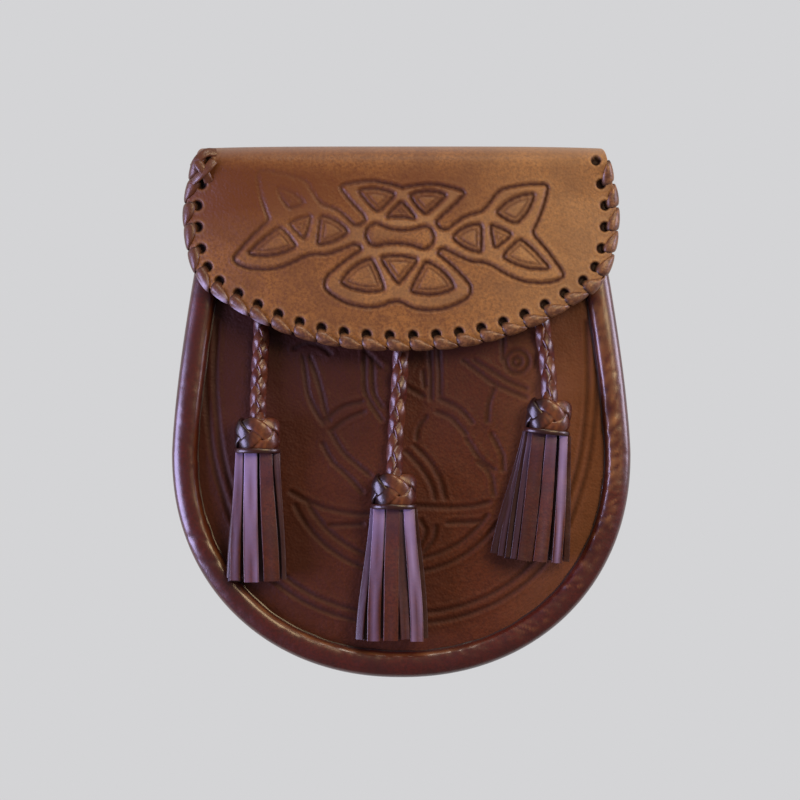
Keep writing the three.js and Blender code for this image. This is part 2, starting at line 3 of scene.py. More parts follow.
import logging
import math
from dataclasses import dataclass, field
from enum import Enum
from functools import partial
from typing import Any, Callable

import bmesh
import bpy
import numpy as np
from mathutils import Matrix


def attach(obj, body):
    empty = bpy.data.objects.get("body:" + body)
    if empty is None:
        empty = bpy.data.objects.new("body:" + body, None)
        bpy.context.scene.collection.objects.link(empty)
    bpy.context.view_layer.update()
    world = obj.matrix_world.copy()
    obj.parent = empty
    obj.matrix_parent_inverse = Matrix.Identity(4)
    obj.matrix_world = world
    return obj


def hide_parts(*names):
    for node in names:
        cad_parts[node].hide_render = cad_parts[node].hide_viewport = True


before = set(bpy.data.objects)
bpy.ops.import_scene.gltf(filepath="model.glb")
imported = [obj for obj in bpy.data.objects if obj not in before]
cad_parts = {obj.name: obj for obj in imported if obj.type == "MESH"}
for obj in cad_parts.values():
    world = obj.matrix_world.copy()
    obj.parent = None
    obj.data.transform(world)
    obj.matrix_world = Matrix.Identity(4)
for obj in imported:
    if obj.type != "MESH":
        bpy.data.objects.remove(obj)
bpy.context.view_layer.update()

MM = 0.001  # metres in a millimetre
log = logging.getLogger("sporran")

Values = np.ndarray  # numbers, one for each place
Points = np.ndarray  # points or flat spots, one to a row
Place = Callable[[Values, Values], Points]
Shell = bmesh.types.BMesh
Corners = list[bmesh.types.BMVert]
Piece = bpy.types.Object
Material = bpy.types.Material
Tree = bpy.types.NodeTree
Socket = bpy.types.NodeSocket


class Slot(Enum):
    """Material slot names, as the record names them; no piece here is given one."""

    PANEL = "panel_leather"
    GUSSET = "gusset_leather"
    FLAP = "flap_leather"
    THONG = "lacing_thong"
    TASSEL = "tassel_leather"


class Mark(Enum):
    """Marks that a mesh carries for its finish, each from 0 to 1; some paint shade, highlights and sheen
    into its colour.
    """

    TOOLING_AND_SHADE = "tooling_and_shade"  # pressed in with a tool, or a punched hole, darkened partly as tooling and partly as painted shade; also painted shade in dents, at the lacing bands' sides and inside the knot
    WEAR_AND_HIGHLIGHT = "wear_and_highlight"  # raw or worn edge, and painted highlight
    DYE_AND_SHADE = "dye_and_shade"  # darker and redder: thicker dye in places, and painted shade
    HOLLOW = "hollow"  # inside a hole or a deep gap, where no light comes
    PAINTED_SHEEN = "painted_sheen"  # painted sheen: a bluish reflection painted into the colour


Marks = dict[Mark, Values | float]


# Measuring helpers


def smooth(value: Values, low: float, high: float) -> Values:
    """Gives a soft step from 0 at low to 1 at high.

    Args:
        value: Where the step is read.
        low: Where it starts.
        high: Where it ends.

    Returns:
        The step's height, from 0 to 1.
    """
    share = np.clip((value - low) / (high - low), 0.0, 1.0)
    return share * share * (3 - 2 * share)


def mix(low: Values | float, high: Values | float, share: Values) -> Values:
    """Blends from low to high."""
    return low + (high - low) * share


def ridge(away: Values, reach: float) -> Values:
    """Gives a soft ridge that is 1 where away is 0 and fades within about twice the reach."""
    return np.exp(-((away / reach) ** 2))


def unit(vectors: Points) -> Points:
    """Scales each vector to a length of one."""
    return vectors / np.maximum(np.linalg.norm(vectors, axis=-1, keepdims=True), 1e-12)


def eased_table(at: Values, values: Values, where: Values) -> Values:
    """Reads a table through a smooth curve that passes its rows.

    Args:
        at: Where the rows are, rising.
        values: The rows' values.
        where: Where the curve is read.

    Returns:
        The curve's values.
    """
    last = len(at) - 1
    high = np.clip(np.searchsorted(at, where - 1e-9), 1, last)
    low = high - 1
    before = np.maximum(0, low - 1)
    after = np.minimum(last, high + 1)
    run = at[high] - at[low]
    share = (where - at[low]) / run
    slope_low = (values[high] - values[before]) / (at[high] - at[before])
    slope_high = (values[after] - values[low]) / (at[after] - at[low])
    square, cube = share**2, share**3
    rise = values[low] * (2 * cube - 3 * square + 1) + values[high] * (3 * square - 2 * cube)
    return rise + slope_low * run * (cube - 2 * square + share) + slope_high * run * (cube - square)


def smooth_path(points: Points, count: int) -> Points:
    """Draws a smooth path through points, with its corners evenly spread between them.

    Args:
        points: The points that it passes, one to a row.
        count: How many corners the path has.

    Returns:
        The path's corners.
    """
    knots = np.arange(len(points), dtype=float)
    where = np.linspace(0, len(points) - 1, count)
    return np.column_stack([eased_table(knots, column, where) for column in np.asarray(points, float).T])


def lengths_along(path: Points) -> Values:
    """How far each of a path's points is from its start, along the path."""
    return np.concatenate([[0.0], np.cumsum(np.linalg.norm(np.diff(path, axis=0), axis=1))])


def to_right_of(path: Points) -> Points:
    """Which way is to the right, seen along a flat path, at each of its points."""
    ahead = unit(np.gradient(path, axis=0))
    return np.column_stack([ahead[:, 1], -ahead[:, 0]])


def even_path(points: Points, count: int) -> Points:
    """Spreads a path's corners evenly along its length.

    Args:
        points: The path's points.
        count: How many corners it gets.

    Returns:
        The even path.
    """
    lengths = lengths_along(points)
    where = np.linspace(0, lengths[-1], count)
    return np.column_stack([np.interp(where, lengths, column) for column in points.T])


def bowed_path(corners: tuple[tuple[float, float, float], ...], closed: bool = True) -> Points:
    """Draws an outline whose sides bow.

    Args:
        corners: Across, up, and how far the side that follows bows to its left.
        closed: Whether the last corner joins the first.

    Returns:
        The outline's points.
    """
    steps = 8
    rows = np.array(corners)
    ends = np.roll(rows, -1, axis=0) if closed else rows[1:]
    path = []
    for start, end in zip(rows, ends):
        side = end[:2] - start[:2]
        left = unit(np.array([-side[1], side[0]]))
        for share in np.arange(steps) / steps:
            path.append(start[:2] + side * share + left * start[2] * 4 * share * (1 - share))
    path.append(rows[0, :2] if closed else rows[-1, :2])
    return np.array(path)


def soften(path: Points, reach: float, closed: bool = True) -> Points:
    """Rounds a path's corners by averaging it over a stretch.

    Args:
        path: The path's points.
        reach: How far to each side the averaging goes.
        closed: Whether its ends meet; where they don't, they stay in place.

    Returns:
        The rounded path.
    """
    pitch = 0.9  # mm between the points that are averaged
    length = np.linalg.norm(np.diff(path, axis=0), axis=1).sum()
    count = max(12, round(length / pitch))
    even = even_path(path, count)
    span = max(1, round(reach / (length / (count - 1))))
    if closed:
        padded = np.concatenate([even[-span - 1 : -1], even, even[1 : span + 1]])
    else:
        padded = np.pad(even, ((span, span), (0, 0)), mode="reflect", reflect_type="odd")
    weights = np.ones(2 * span + 1) / (2 * span + 1)
    return np.column_stack([np.convolve(column, weights, mode="valid") for column in padded.T])


def distance_to(spots: Points, path: Points) -> Values:
    """Measures how far flat spots lie from a path.

    Args:
        spots: The spots.
        path: The path's points.

    Returns:
        A distance for each spot.
    """
    nearest = np.full(len(spots), np.inf)
    for start, end in zip(path[:-1], path[1:]):
        side = end - start
        from_start = spots - start
        share = np.clip(from_start @ side / max(side @ side, 1e-12), 0, 1)
        nearest = np.minimum(nearest, np.linalg.norm(from_start - share[:, None] * side, axis=1))
    return nearest


def inside(spots: Points, path: Points) -> Values:
    """Tells which flat spots lie inside a closed path.

    Args:
        spots: The spots.
        path: The path, whose last point is its first.

    Returns:
        Whether each is.
    """
    within = np.zeros(len(spots), bool)
    for (x0, y0), (x1, y1) in zip(path[:-1], path[1:]):
        crossed = (y0 > spots[:, 1]) != (y1 > spots[:, 1])
        edge = x0 + (spots[:, 1] - y0) * (x1 - x0) / (y1 - y0 if y1 != y0 else 1.0)
        within ^= crossed & (spots[:, 0] < edge)
    return within


# Shells


def new_shell() -> Shell:
    """Starts an empty mesh that can carry the finishes' marks.

    Returns:
        The mesh.
    """
    shell = bmesh.new()
    for mark in Mark:
        shell.verts.layers.float.new(mark.value)
    return shell


def set_marks(shell: Shell, corners: Corners, marks: Marks) -> None:
    """Gives corners their values of the finishes' marks.

    Args:
        shell: The mesh.
        corners: The corners.
        marks: A value for each, or one for all, of each mark.
    """
    for mark, values in marks.items():
        layer = shell.verts.layers.float[mark.value]
        for corner, value in zip(corners, np.broadcast_to(values, len(corners))):
            corner[layer] = float(value)


def lay_grid(shell: Shell, across: Values, along: Values, place: Place) -> Corners:
    """Lays a grid of faces whose corners are placed by a rule.

    Args:
        shell: The mesh that it is added to.
        across: The columns' values.
        along: The rows' values.
        place: Turns columns and rows into points, in millimetres.

    Returns:
        The grid's corners.
    """
    cells = (len(across) - 1, len(along) - 1)
    made = bmesh.ops.create_grid(shell, x_segments=cells[0], y_segments=cells[1], size=0.5)
    corners = made["verts"]
    flat = np.array([corner.co[:2] for corner in corners]) + 0.5
    column = np.rint(flat[:, 0] * cells[0]).astype(int)
    row = np.rint(flat[:, 1] * cells[1]).astype(int)
    for corner, point in zip(corners, place(across[column], along[row]) * MM):
        corner.co = point
    return corners


def places_of(corners: Corners) -> Points:
    """Reads where corners are, in millimetres."""
    return np.array([corner.co[:] for corner in corners]) / MM


def lay_tube(
    shell: Shell,
    path: Points,
    out: Points,
    width: Values,
    thickness: Values,
    sides: int = 12,
    fullness: float = 2.0,
    ring: bool = False,
    across: Points | None = None,
) -> Corners:
    """Sweeps a rounded section along a path and closes its ends.

    Args:
        shell: The mesh that it is added to.
        path: The section's middles, in millimetres.
        out: Which way the section's flat face looks.
        width: The section's width at each of them.
        thickness: Its thickness at each of them.
        sides: How many sides the section has.
        fullness: 2 is an ellipse, and more is squarer.
        ring: Whether the path's end joins its start.
        across: Which way the width is measured, where that isn't square to the path.

    Returns:
        The tube's corners.
    """
    around = np.roll(path, -1, axis=0) - np.roll(path, 1, axis=0)
    ahead = unit(around if ring else np.gradient(path, axis=0))
    sideways = unit(np.cross(ahead, out)) if across is None else across
    upright = unit(np.cross(sideways, ahead))
    width, thickness = [np.broadcast_to(size, len(path)) for size in (width, thickness)]

    def place(turn: Values, station: Values) -> Points:
        """Places the section's corners at their stations.

        Args:
            turn: Places round the section.
            station: Places along the path.

        Returns:
            The corners' places.
        """
        at = station.astype(int) % len(path)
        waves = (np.cos(turn), np.sin(turn))
        wide, thick = [np.sign(wave) * np.abs(wave) ** (2 / fullness) / 2 for wave in waves]
        flat = sideways[at] * (wide * width[at])[:, None]
        return path[at] + flat + upright[at] * (thick * thickness[at])[:, None]

    stations = np.arange(len(path) + 1 if ring else len(path))
    turns = np.linspace(0, 2 * math.pi, sides + 1)
    corners = lay_grid(shell, turns, stations, place)
    bmesh.ops.remove_doubles(shell, verts=corners, dist=1e-7)
    corners = [corner for corner in corners if corner.is_valid]
    open_edges = {edge for corner in corners for edge in corner.link_edges if edge.is_boundary}
    if open_edges:
        bmesh.ops.holes_fill(shell, edges=list(open_edges), sides=0)
    return corners


def close_sheet(shell: Shell) -> None:
    """Joins the rims of a sheet's two faces and turns all faces outwards.

    Args:
        shell: The mesh.
    """
    rims = [edge for edge in shell.edges if edge.is_boundary]
    bmesh.ops.bridge_loops(shell, edges=rims)
    bmesh.ops.recalc_face_normals(shell, faces=shell.faces)


def add_object(name: str, data: bpy.types.ID) -> Piece:
    """Makes an object of its data and puts it in the scene.

    Args:
        name: Its name.
        data: Its mesh, camera or light.

    Returns:
        The object.
    """
    made = bpy.data.objects.new(name, data)
    bpy.context.scene.collection.objects.link(made)
    return made


def finish_piece(
    shell: Shell, name: str, node: str, material: Material, crease: float = 50
) -> Piece:
    """Makes a shell a piece that stands for a node of the frame.

    Args:
        shell: The piece's mesh, which is used up.
        name: The piece's name.
        node: The node that it stands for.
        material: Its finish.
        crease: Angle in degrees past which an edge shows sharp.

    Returns:
        The piece.
    """
    bmesh.ops.recalc_face_normals(shell, faces=shell.faces)
    mesh = bpy.data.meshes.new(name)
    shell.to_mesh(mesh)
    shell.free()
    mesh.shade_smooth()
    mesh.set_sharp_from_angle(angle=math.radians(crease))
    mesh.materials.append(material)
    piece = add_object(name, mesh)
    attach(piece, "root")
    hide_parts(node)
    log.info("%s: %d faces", name, len(mesh.polygons))
    return piece


# Finishes


def linear(colour: str) -> tuple[float, float, float, float]:
    """Turns an sRGB hex colour into linear red, green, blue and alpha."""
    parts = [int(colour[i : i + 2], 16) / 255 for i in (1, 3, 5)]
    return (*(part / 12.92 if part <= 0.04045 else ((part + 0.055) / 1.055) ** 2.4 for part in parts), 1.0)


def add_node(
    tree: Tree,
    kind: str,
    settings: dict[str, Any] | None = None,
    inputs: dict[Any, Any] | None = None,
) -> bpy.types.Node:
    """Adds a node with its settings, values and links.

    Args:
        tree: The tree that it is added to.
        kind: The node's type.
        settings: Values of its own properties.
        inputs: A value or another node's socket for each input.

    Returns:
        The node.
    """
    node = tree.nodes.new(kind)
    for name, value in (settings or {}).items():
        setattr(node, name, value)
    for name, source in (inputs or {}).items():
        if isinstance(source, Socket):
            tree.links.new(source, node.inputs[name])
        else:
            node.inputs[name].default_value = source
    return node


def start_material(name: str) -> tuple[Material, Tree]:
    """Starts a material with an empty node tree, and gives both.

    Args:
        name: The material's name.

    Returns:
        The material and its tree.
    """
    material = bpy.data.materials.new(name)
    material.use_nodes = True
    material.node_tree.nodes.clear()
    return material, material.node_tree


MIX_FACTOR, MIX_A, MIX_B, MIX_RESULT = 0, 6, 7, 2  # sockets of a Mix node that mixes colours
MATHS_VALUE, MATHS_TIMES, MATHS_PLUS = 0, 1, 2  # sockets of a Math node that multiplies and adds


@dataclass(frozen=True)
class Leather:
    """Vegetable-tanned cowhide, dyed, pressed smooth and waxed: a satin face with fine pores."""

    name: str
    body: str  # main colour
    shade: str  # where the dye lies thicker
    deep: str  # for thicker dye, and for painted shade
    wear_and_highlight_tint: str  # raw and rubbed edges, and painted highlights
    tooled: str  # in pressed lines, partly painted shade, and painted shade in dents, at the lacing bands' sides and inside the knot
    painted_sheen: str  # tint of the painted sheen, a bluish reflection
    hollow: str = "#140805"  # painted shade inside holes and gaps
    roughness: float = 0.5
    ior: float = 1.5  # of the waxed face
    coat: float = 0.2  # how much glaze lies over it
    coat_roughness: float = 0.3
    coat_ior: float = 1.5  # of the glaze; a thick one mirrors more
    grain: float = 0.9  # mm between pores, drawn coarser than a hide's 0.3 mm so that they show
    grain_depth: float = 0.14  # mm
    fleck: float = 0.8  # how far the fine flecks darken
    cloud: float = 28.0  # mm across a patch of thicker dye
    cloud_share: float = 0.6  # how far such a patch darkens
    pull: float = 9.0  # mm across a soft pull in the hide
    pull_depth: float = 0.6  # mm

    # how much duller each mark makes the face
    DULLED = ((Mark.HOLLOW, 0.6), (Mark.TOOLING_AND_SHADE, 0.3), (Mark.WEAR_AND_HIGHLIGHT, 0.25))

    def material(self) -> Material:
        """Makes the finish's material.

        Returns:
            The material.
        """
        material, tree = start_material(self.name)
        spot = add_node(tree, "ShaderNodeTexCoord").outputs["Object"]
        marks = {}
        for mark in Mark:
            reader = add_node(tree, "ShaderNodeAttribute", {"attribute_name": mark.value})
            marks[mark] = reader.outputs["Fac"]
        noises = {}
        for name, size, detail, rough in (
            ("cloud", self.cloud, 3.0, 0.55),
            ("fleck", self.grain * 1.3, 3.0, 0.65),
            ("pull", self.pull, 2.0, 0.5),
        ):
            inputs = {"Vector": spot, "Scale": 1 / (size * MM), "Detail": detail, "Roughness": rough}
            noises[name] = add_node(tree, "ShaderNodeTexNoise", None, inputs).outputs["Fac"]
        inputs = {"Value": noises["cloud"], "To Min": self.roughness - 0.08, "To Max": self.roughness + 0.1}
        dull = add_node(tree, "ShaderNodeMapRange", None, inputs).outputs["Result"]
        for mark, loss in self.DULLED:
            inputs = {MATHS_VALUE: marks[mark], MATHS_TIMES: loss, MATHS_PLUS: dull}
            how = {"operation": "MULTIPLY_ADD", "use_clamp": True}
            dull = add_node(tree, "ShaderNodeMath", how, inputs).outputs["Value"]
        shader = add_node(
            tree,
            "ShaderNodeBsdfPrincipled",
            None,
            {
                "Base Color": self.colour(tree, marks, noises),
                "Roughness": dull,
                "IOR": self.ior,
                "Coat Weight": self.coat,
                "Coat Roughness": self.coat_roughness,
                "Coat IOR": self.coat_ior,
                "Normal": self.relief(tree, spot, noises["pull"]),
            },
        )
        add_node(tree, "ShaderNodeOutputMaterial", None, {"Surface": shader.outputs["BSDF"]})
        return material

    def colour(self, tree: Tree, marks: dict[Mark, Socket], noises: dict[str, Socket]) -> Socket:
        """Lays the dye's patches and flecks, and then the marks, painted shade, highlights and sheen among
        them, over the main colour.

        Args:
            tree: The finish's tree.
            marks: Where each mark is read.
            noises: The finish's noises.

        Returns:
            The colour's socket.
        """
        how = {"interpolation_type": "SMOOTHSTEP"}
        inputs = {"Value": noises["cloud"], "From Min": 0.38, "From Max": 0.68, "To Max": self.cloud_share}
        patches = add_node(tree, "ShaderNodeMapRange", how, inputs).outputs["Result"]
        inputs = {"Value": noises["fleck"], "From Min": 0.4, "From Max": 0.64, "To Max": self.fleck}
        flecks = add_node(tree, "ShaderNodeMapRange", None, inputs).outputs["Result"]
        colour = linear(self.body)
        for share, tint in (
            (patches, self.shade),
            (flecks, self.shade),
            (marks[Mark.DYE_AND_SHADE], self.deep),
            (marks[Mark.PAINTED_SHEEN], self.painted_sheen),
            (marks[Mark.WEAR_AND_HIGHLIGHT], self.wear_and_highlight_tint),
            (marks[Mark.TOOLING_AND_SHADE], self.tooled),
            (marks[Mark.HOLLOW], self.hollow),
        ):
            inputs = {MIX_FACTOR: share, MIX_A: colour, MIX_B: linear(tint)}
            colour = add_node(tree, "ShaderNodeMix", {"data_type": "RGBA"}, inputs).outputs[MIX_RESULT]
        return colour

    def relief(self, tree: Tree, spot: Socket, pulls: Socket) -> Socket:
        """Makes the hide's pores and soft pulls.

        Args:
            tree: The finish's tree.
            spot: Where on the piece it is.
            pulls: The noise of the soft pulls.

        Returns:
            The normal's socket.
        """
        inputs = {"Height": pulls, "Strength": 1.0, "Distance": self.pull_depth * MM}
        pulled = add_node(tree, "ShaderNodeBump", None, inputs).outputs["Normal"]
        inputs = {"Vector": spot, "Scale": 1 / (self.grain * MM)}
        pores = add_node(tree, "ShaderNodeTexVoronoi", {"feature": "SMOOTH_F1"}, inputs).outputs["Distance"]
        inputs = {"Height": pores, "Strength": 1.0, "Distance": self.grain_depth * MM, "Normal": pulled}
        return add_node(tree, "ShaderNodeBump", None, inputs).outputs["Normal"]


@dataclass(frozen=True)
class Brass:
    """Stamped brass, worn to a satin face with a little tarnish."""

    name: str = "stamped_brass"
    body: str = "#a8843f"
    tarnish: str = "#6e5426"
    stain: float = 2.0  # mm across a stain
    roughness: float = 0.35

    def material(self) -> Material:
        """Makes the finish's material.

        Returns:
            The material.
        """
        material, tree = start_material(self.name)
        spot = add_node(tree, "ShaderNodeTexCoord").outputs["Object"]
        inputs = {"Vector": spot, "Scale": 1 / (self.stain * MM), "Detail": 4.0}
        stains = add_node(tree, "ShaderNodeTexNoise", None, inputs).outputs["Fac"]
        inputs = {MIX_FACTOR: stains, MIX_A: linear(self.body), MIX_B: linear(self.tarnish)}
        colour = add_node(tree, "ShaderNodeMix", {"data_type": "RGBA"}, inputs).outputs[MIX_RESULT]
        inputs = {"Base Color": colour, "Metallic": 1.0, "Roughness": self.roughness}
        shader = add_node(tree, "ShaderNodeBsdfPrincipled", None, inputs)
        add_node(tree, "ShaderNodeOutputMaterial", None, {"Surface": shader.outputs["BSDF"]})
        return material


# Bridle hide, waxed by hand: a soft satin mid brown, clouded where the dye took unevenly.
FLAP_HIDE = Leather(
    "bridle_hide_mid_brown",
    body="#90602f", shade="#613a1e", deep="#62330b", wear_and_highlight_tint="#c2a06c", tooled="#3f1d0d",
    painted_sheen="#ac968c", hollow="#220e0a", roughness=0.52, ior=1.42, coat=0.1, cloud=20,
)
# Calf thong, rubbed with wax: the same brown, mottled in small patches, with a soft light on each turn.
THONG = Leather(
    "calf_thong",
    body="#92653b", shade="#4e2b17", deep="#53290f", wear_and_highlight_tint="#b98a5c", tooled="#2b130a",
    painted_sheen="#c9bcc9", roughness=0.48, coat=0.35, coat_roughness=0.28, grain=0.8, cloud=2.6,
    cloud_share=0.9,
)
# Bridle hide dyed dark and left unglazed: a deep brown that hardly mirrors.
PANEL_HIDE = Leather(
    "bridle_hide_dark",
    body="#633017", shade="#48200f", deep="#3b160d", wear_and_highlight_tint="#8a5a3a", tooled="#241008",
    painted_sheen="#6b5460", roughness=0.55, ior=1.36, coat=0.0,
)
# Calf under a thick glaze: oxblood with long bright highlights on its round edges.
OXBLOOD_CALF = Leather(
    "glazed_oxblood_calf",
    body="#511509", shade="#390d06", deep="#34120a", wear_and_highlight_tint="#a5713f", tooled="#220b08",
    painted_sheen="#7a5a78", roughness=0.4, ior=1.36, coat=0.85, coat_roughness=0.27, coat_ior=1.65,
    grain_depth=0.07, cloud=14,
)
# Thin calf with a light glaze: dark reddish strips, some with a painted bluish sheen.
TASSEL_CALF = Leather(
    "glazed_tassel_calf",
    body="#582713", shade="#3b160c", deep="#2b100c", wear_and_highlight_tint="#7a4a3a", tooled="#1c0d09",
    painted_sheen="#9380a2", roughness=0.46, ior=1.38, coat=0.25, coat_roughness=0.2, grain=0.8,
    grain_depth=0.06, cloud=7,
)
# Calf burnished by the plaiting: reddish brown, with amber painted as a highlight on the knots' fronts, and
# small sharp lights.
PLAIT_CALF = Leather(
    "burnished_plait_calf",
    body="#58261a", shade="#371410", deep="#220d0a", wear_and_highlight_tint="#a8682f", tooled="#1c0d09",
    painted_sheen="#9a86b0", roughness=0.38, ior=1.4, coat=0.6, coat_roughness=0.24, grain_depth=0.08,
    cloud=3,
)


# Forms that several pieces share


@dataclass(frozen=True)
class PouchForm:
    """Outline and levels of the pouch, in millimetres from its bottom and from the surface it lies on."""

    width: float = 178
    height: float = 206
    depth: float = 40
    widest_level: float = 86.5
    bottom_fullness: float = 2.13
    side_taper: float = 15
    taper_power: float = 1.4
    mouth_drop: float = 3.5
    mouth_drop_length: float = 110
    gusset_end: float = 14
    front_mouth: float = 20
    back_mouth: float = 8
    front_dome: float = 3
    dome_power: float = 2.2
    dome_level: float = 92
    dome_reach: float = 0.95  # share of the panel
    seat_gap: float = 0.3
    gusset_leather: float = 1.6
    front_leather: float = 2
    back_leather: float = 2
    roll_width: float = 10
    roll_rise: float = 4.2
    panel_tuck: float = 4
    back_face: float = 6.6

    def in_frame(self, points: Points) -> Points:
        """Moves points measured from the pouch's bottom into the frame, whose middle is the pouch's."""
        return points - np.array([0.0, self.height / 2, 0.0])

    def half_width(self, y: Values) -> Values:
        """Half of the pouch's width at a height, to the outside of the rolls.

        Args:
            y: Places above its bottom.

        Returns:
            Half of the width at each.
        """
        top = self.height - self.gusset_end
        share = np.maximum(0, (y - self.widest_level) / (top - self.widest_level))
        above = self.width / 2 - self.side_taper * share**self.taper_power
        low = np.clip(1 - y / self.widest_level, 0, 1)
        below = self.width / 2 * (1 - low**self.bottom_fullness) ** (1 / self.bottom_fullness)
        return np.where(y >= self.widest_level, above, below)

    def outline(self, inset: float, top: float, count: int) -> tuple[Points, Points]:
        """Walks the outline from its left end round the bottom to its right end.

        Args:
            inset: How far inside the rolls' outside it runs.
            top: The height of its ends.
            count: How many points it has.

        Returns:
            Its points and their outward directions.
        """
        fine = 800
        turn = np.linspace(0, math.pi / 2, fine)
        bend = 2 / self.bottom_fullness
        bottom_x = self.width / 2 * np.sin(turn) ** bend
        bottom_y = self.widest_level * (1 - np.maximum(0, np.cos(turn)) ** bend)
        side_y = np.linspace(self.widest_level, top, fine)[1:]
        sides = np.column_stack([self.half_width(side_y), side_y])
        half = np.concatenate([np.column_stack([bottom_x, bottom_y]), sides])
        whole = np.concatenate([half[:0:-1] * [-1, 1], half])
        points = even_path(whole, count)
        out = to_right_of(points)
        return points - out * inset, out

    def panel_rim(self, mouth: float) -> Points:
        """Walks the right half of a panel's rim from the bottom to its mouth, so far below the fold.

        Args:
            mouth: How far the mouth is below the fold.

        Returns:
            The rim's points, rising.
        """
        half = 800
        rim, _ = self.outline(self.roll_width - self.panel_tuck, self.height - mouth, 2 * half + 1)
        right = rim[half:]
        return right[np.argsort(right[:, 1])]

    def crest(self, y: Values) -> Values:
        """Height of the front rolls' crest."""
        return self.depth - self.mouth_drop * smooth(y, self.height - self.mouth_drop_length, self.height)

    def panel_edge(self, y: Values) -> Values:
        """Height of the front panel's face at its edge."""
        return self.crest(y) - self.roll_rise - self.seat_gap

    def dome(self, x: Values, y: Values) -> Values:
        """How far the front panel domes at a place.

        Args:
            x: Places across the pouch.
            y: Places above its bottom.

        Returns:
            Its height over the panel's edge.
        """
        rim, _ = self.outline(self.roll_width - self.panel_tuck, self.height - self.front_mouth, 400)
        across = np.linspace(rim[-1, 0], rim[0, 0], 80)[1:-1]
        mouth = np.column_stack([across, np.full(len(across), rim[0, 1])])
        around = np.concatenate([rim, mouth]) - [0, self.dome_level]
        angle = np.arctan2(around[:, 1], around[:, 0])
        order = np.argsort(angle)
        reach = np.linalg.norm(around, axis=1)[order]
        here = np.interp(np.arctan2(y - self.dome_level, x), angle[order], reach, period=2 * math.pi)
        share = np.hypot(x, y - self.dome_level) / here
        return self.front_dome * (1 - np.minimum(1, share / self.dome_reach) ** self.dome_power)


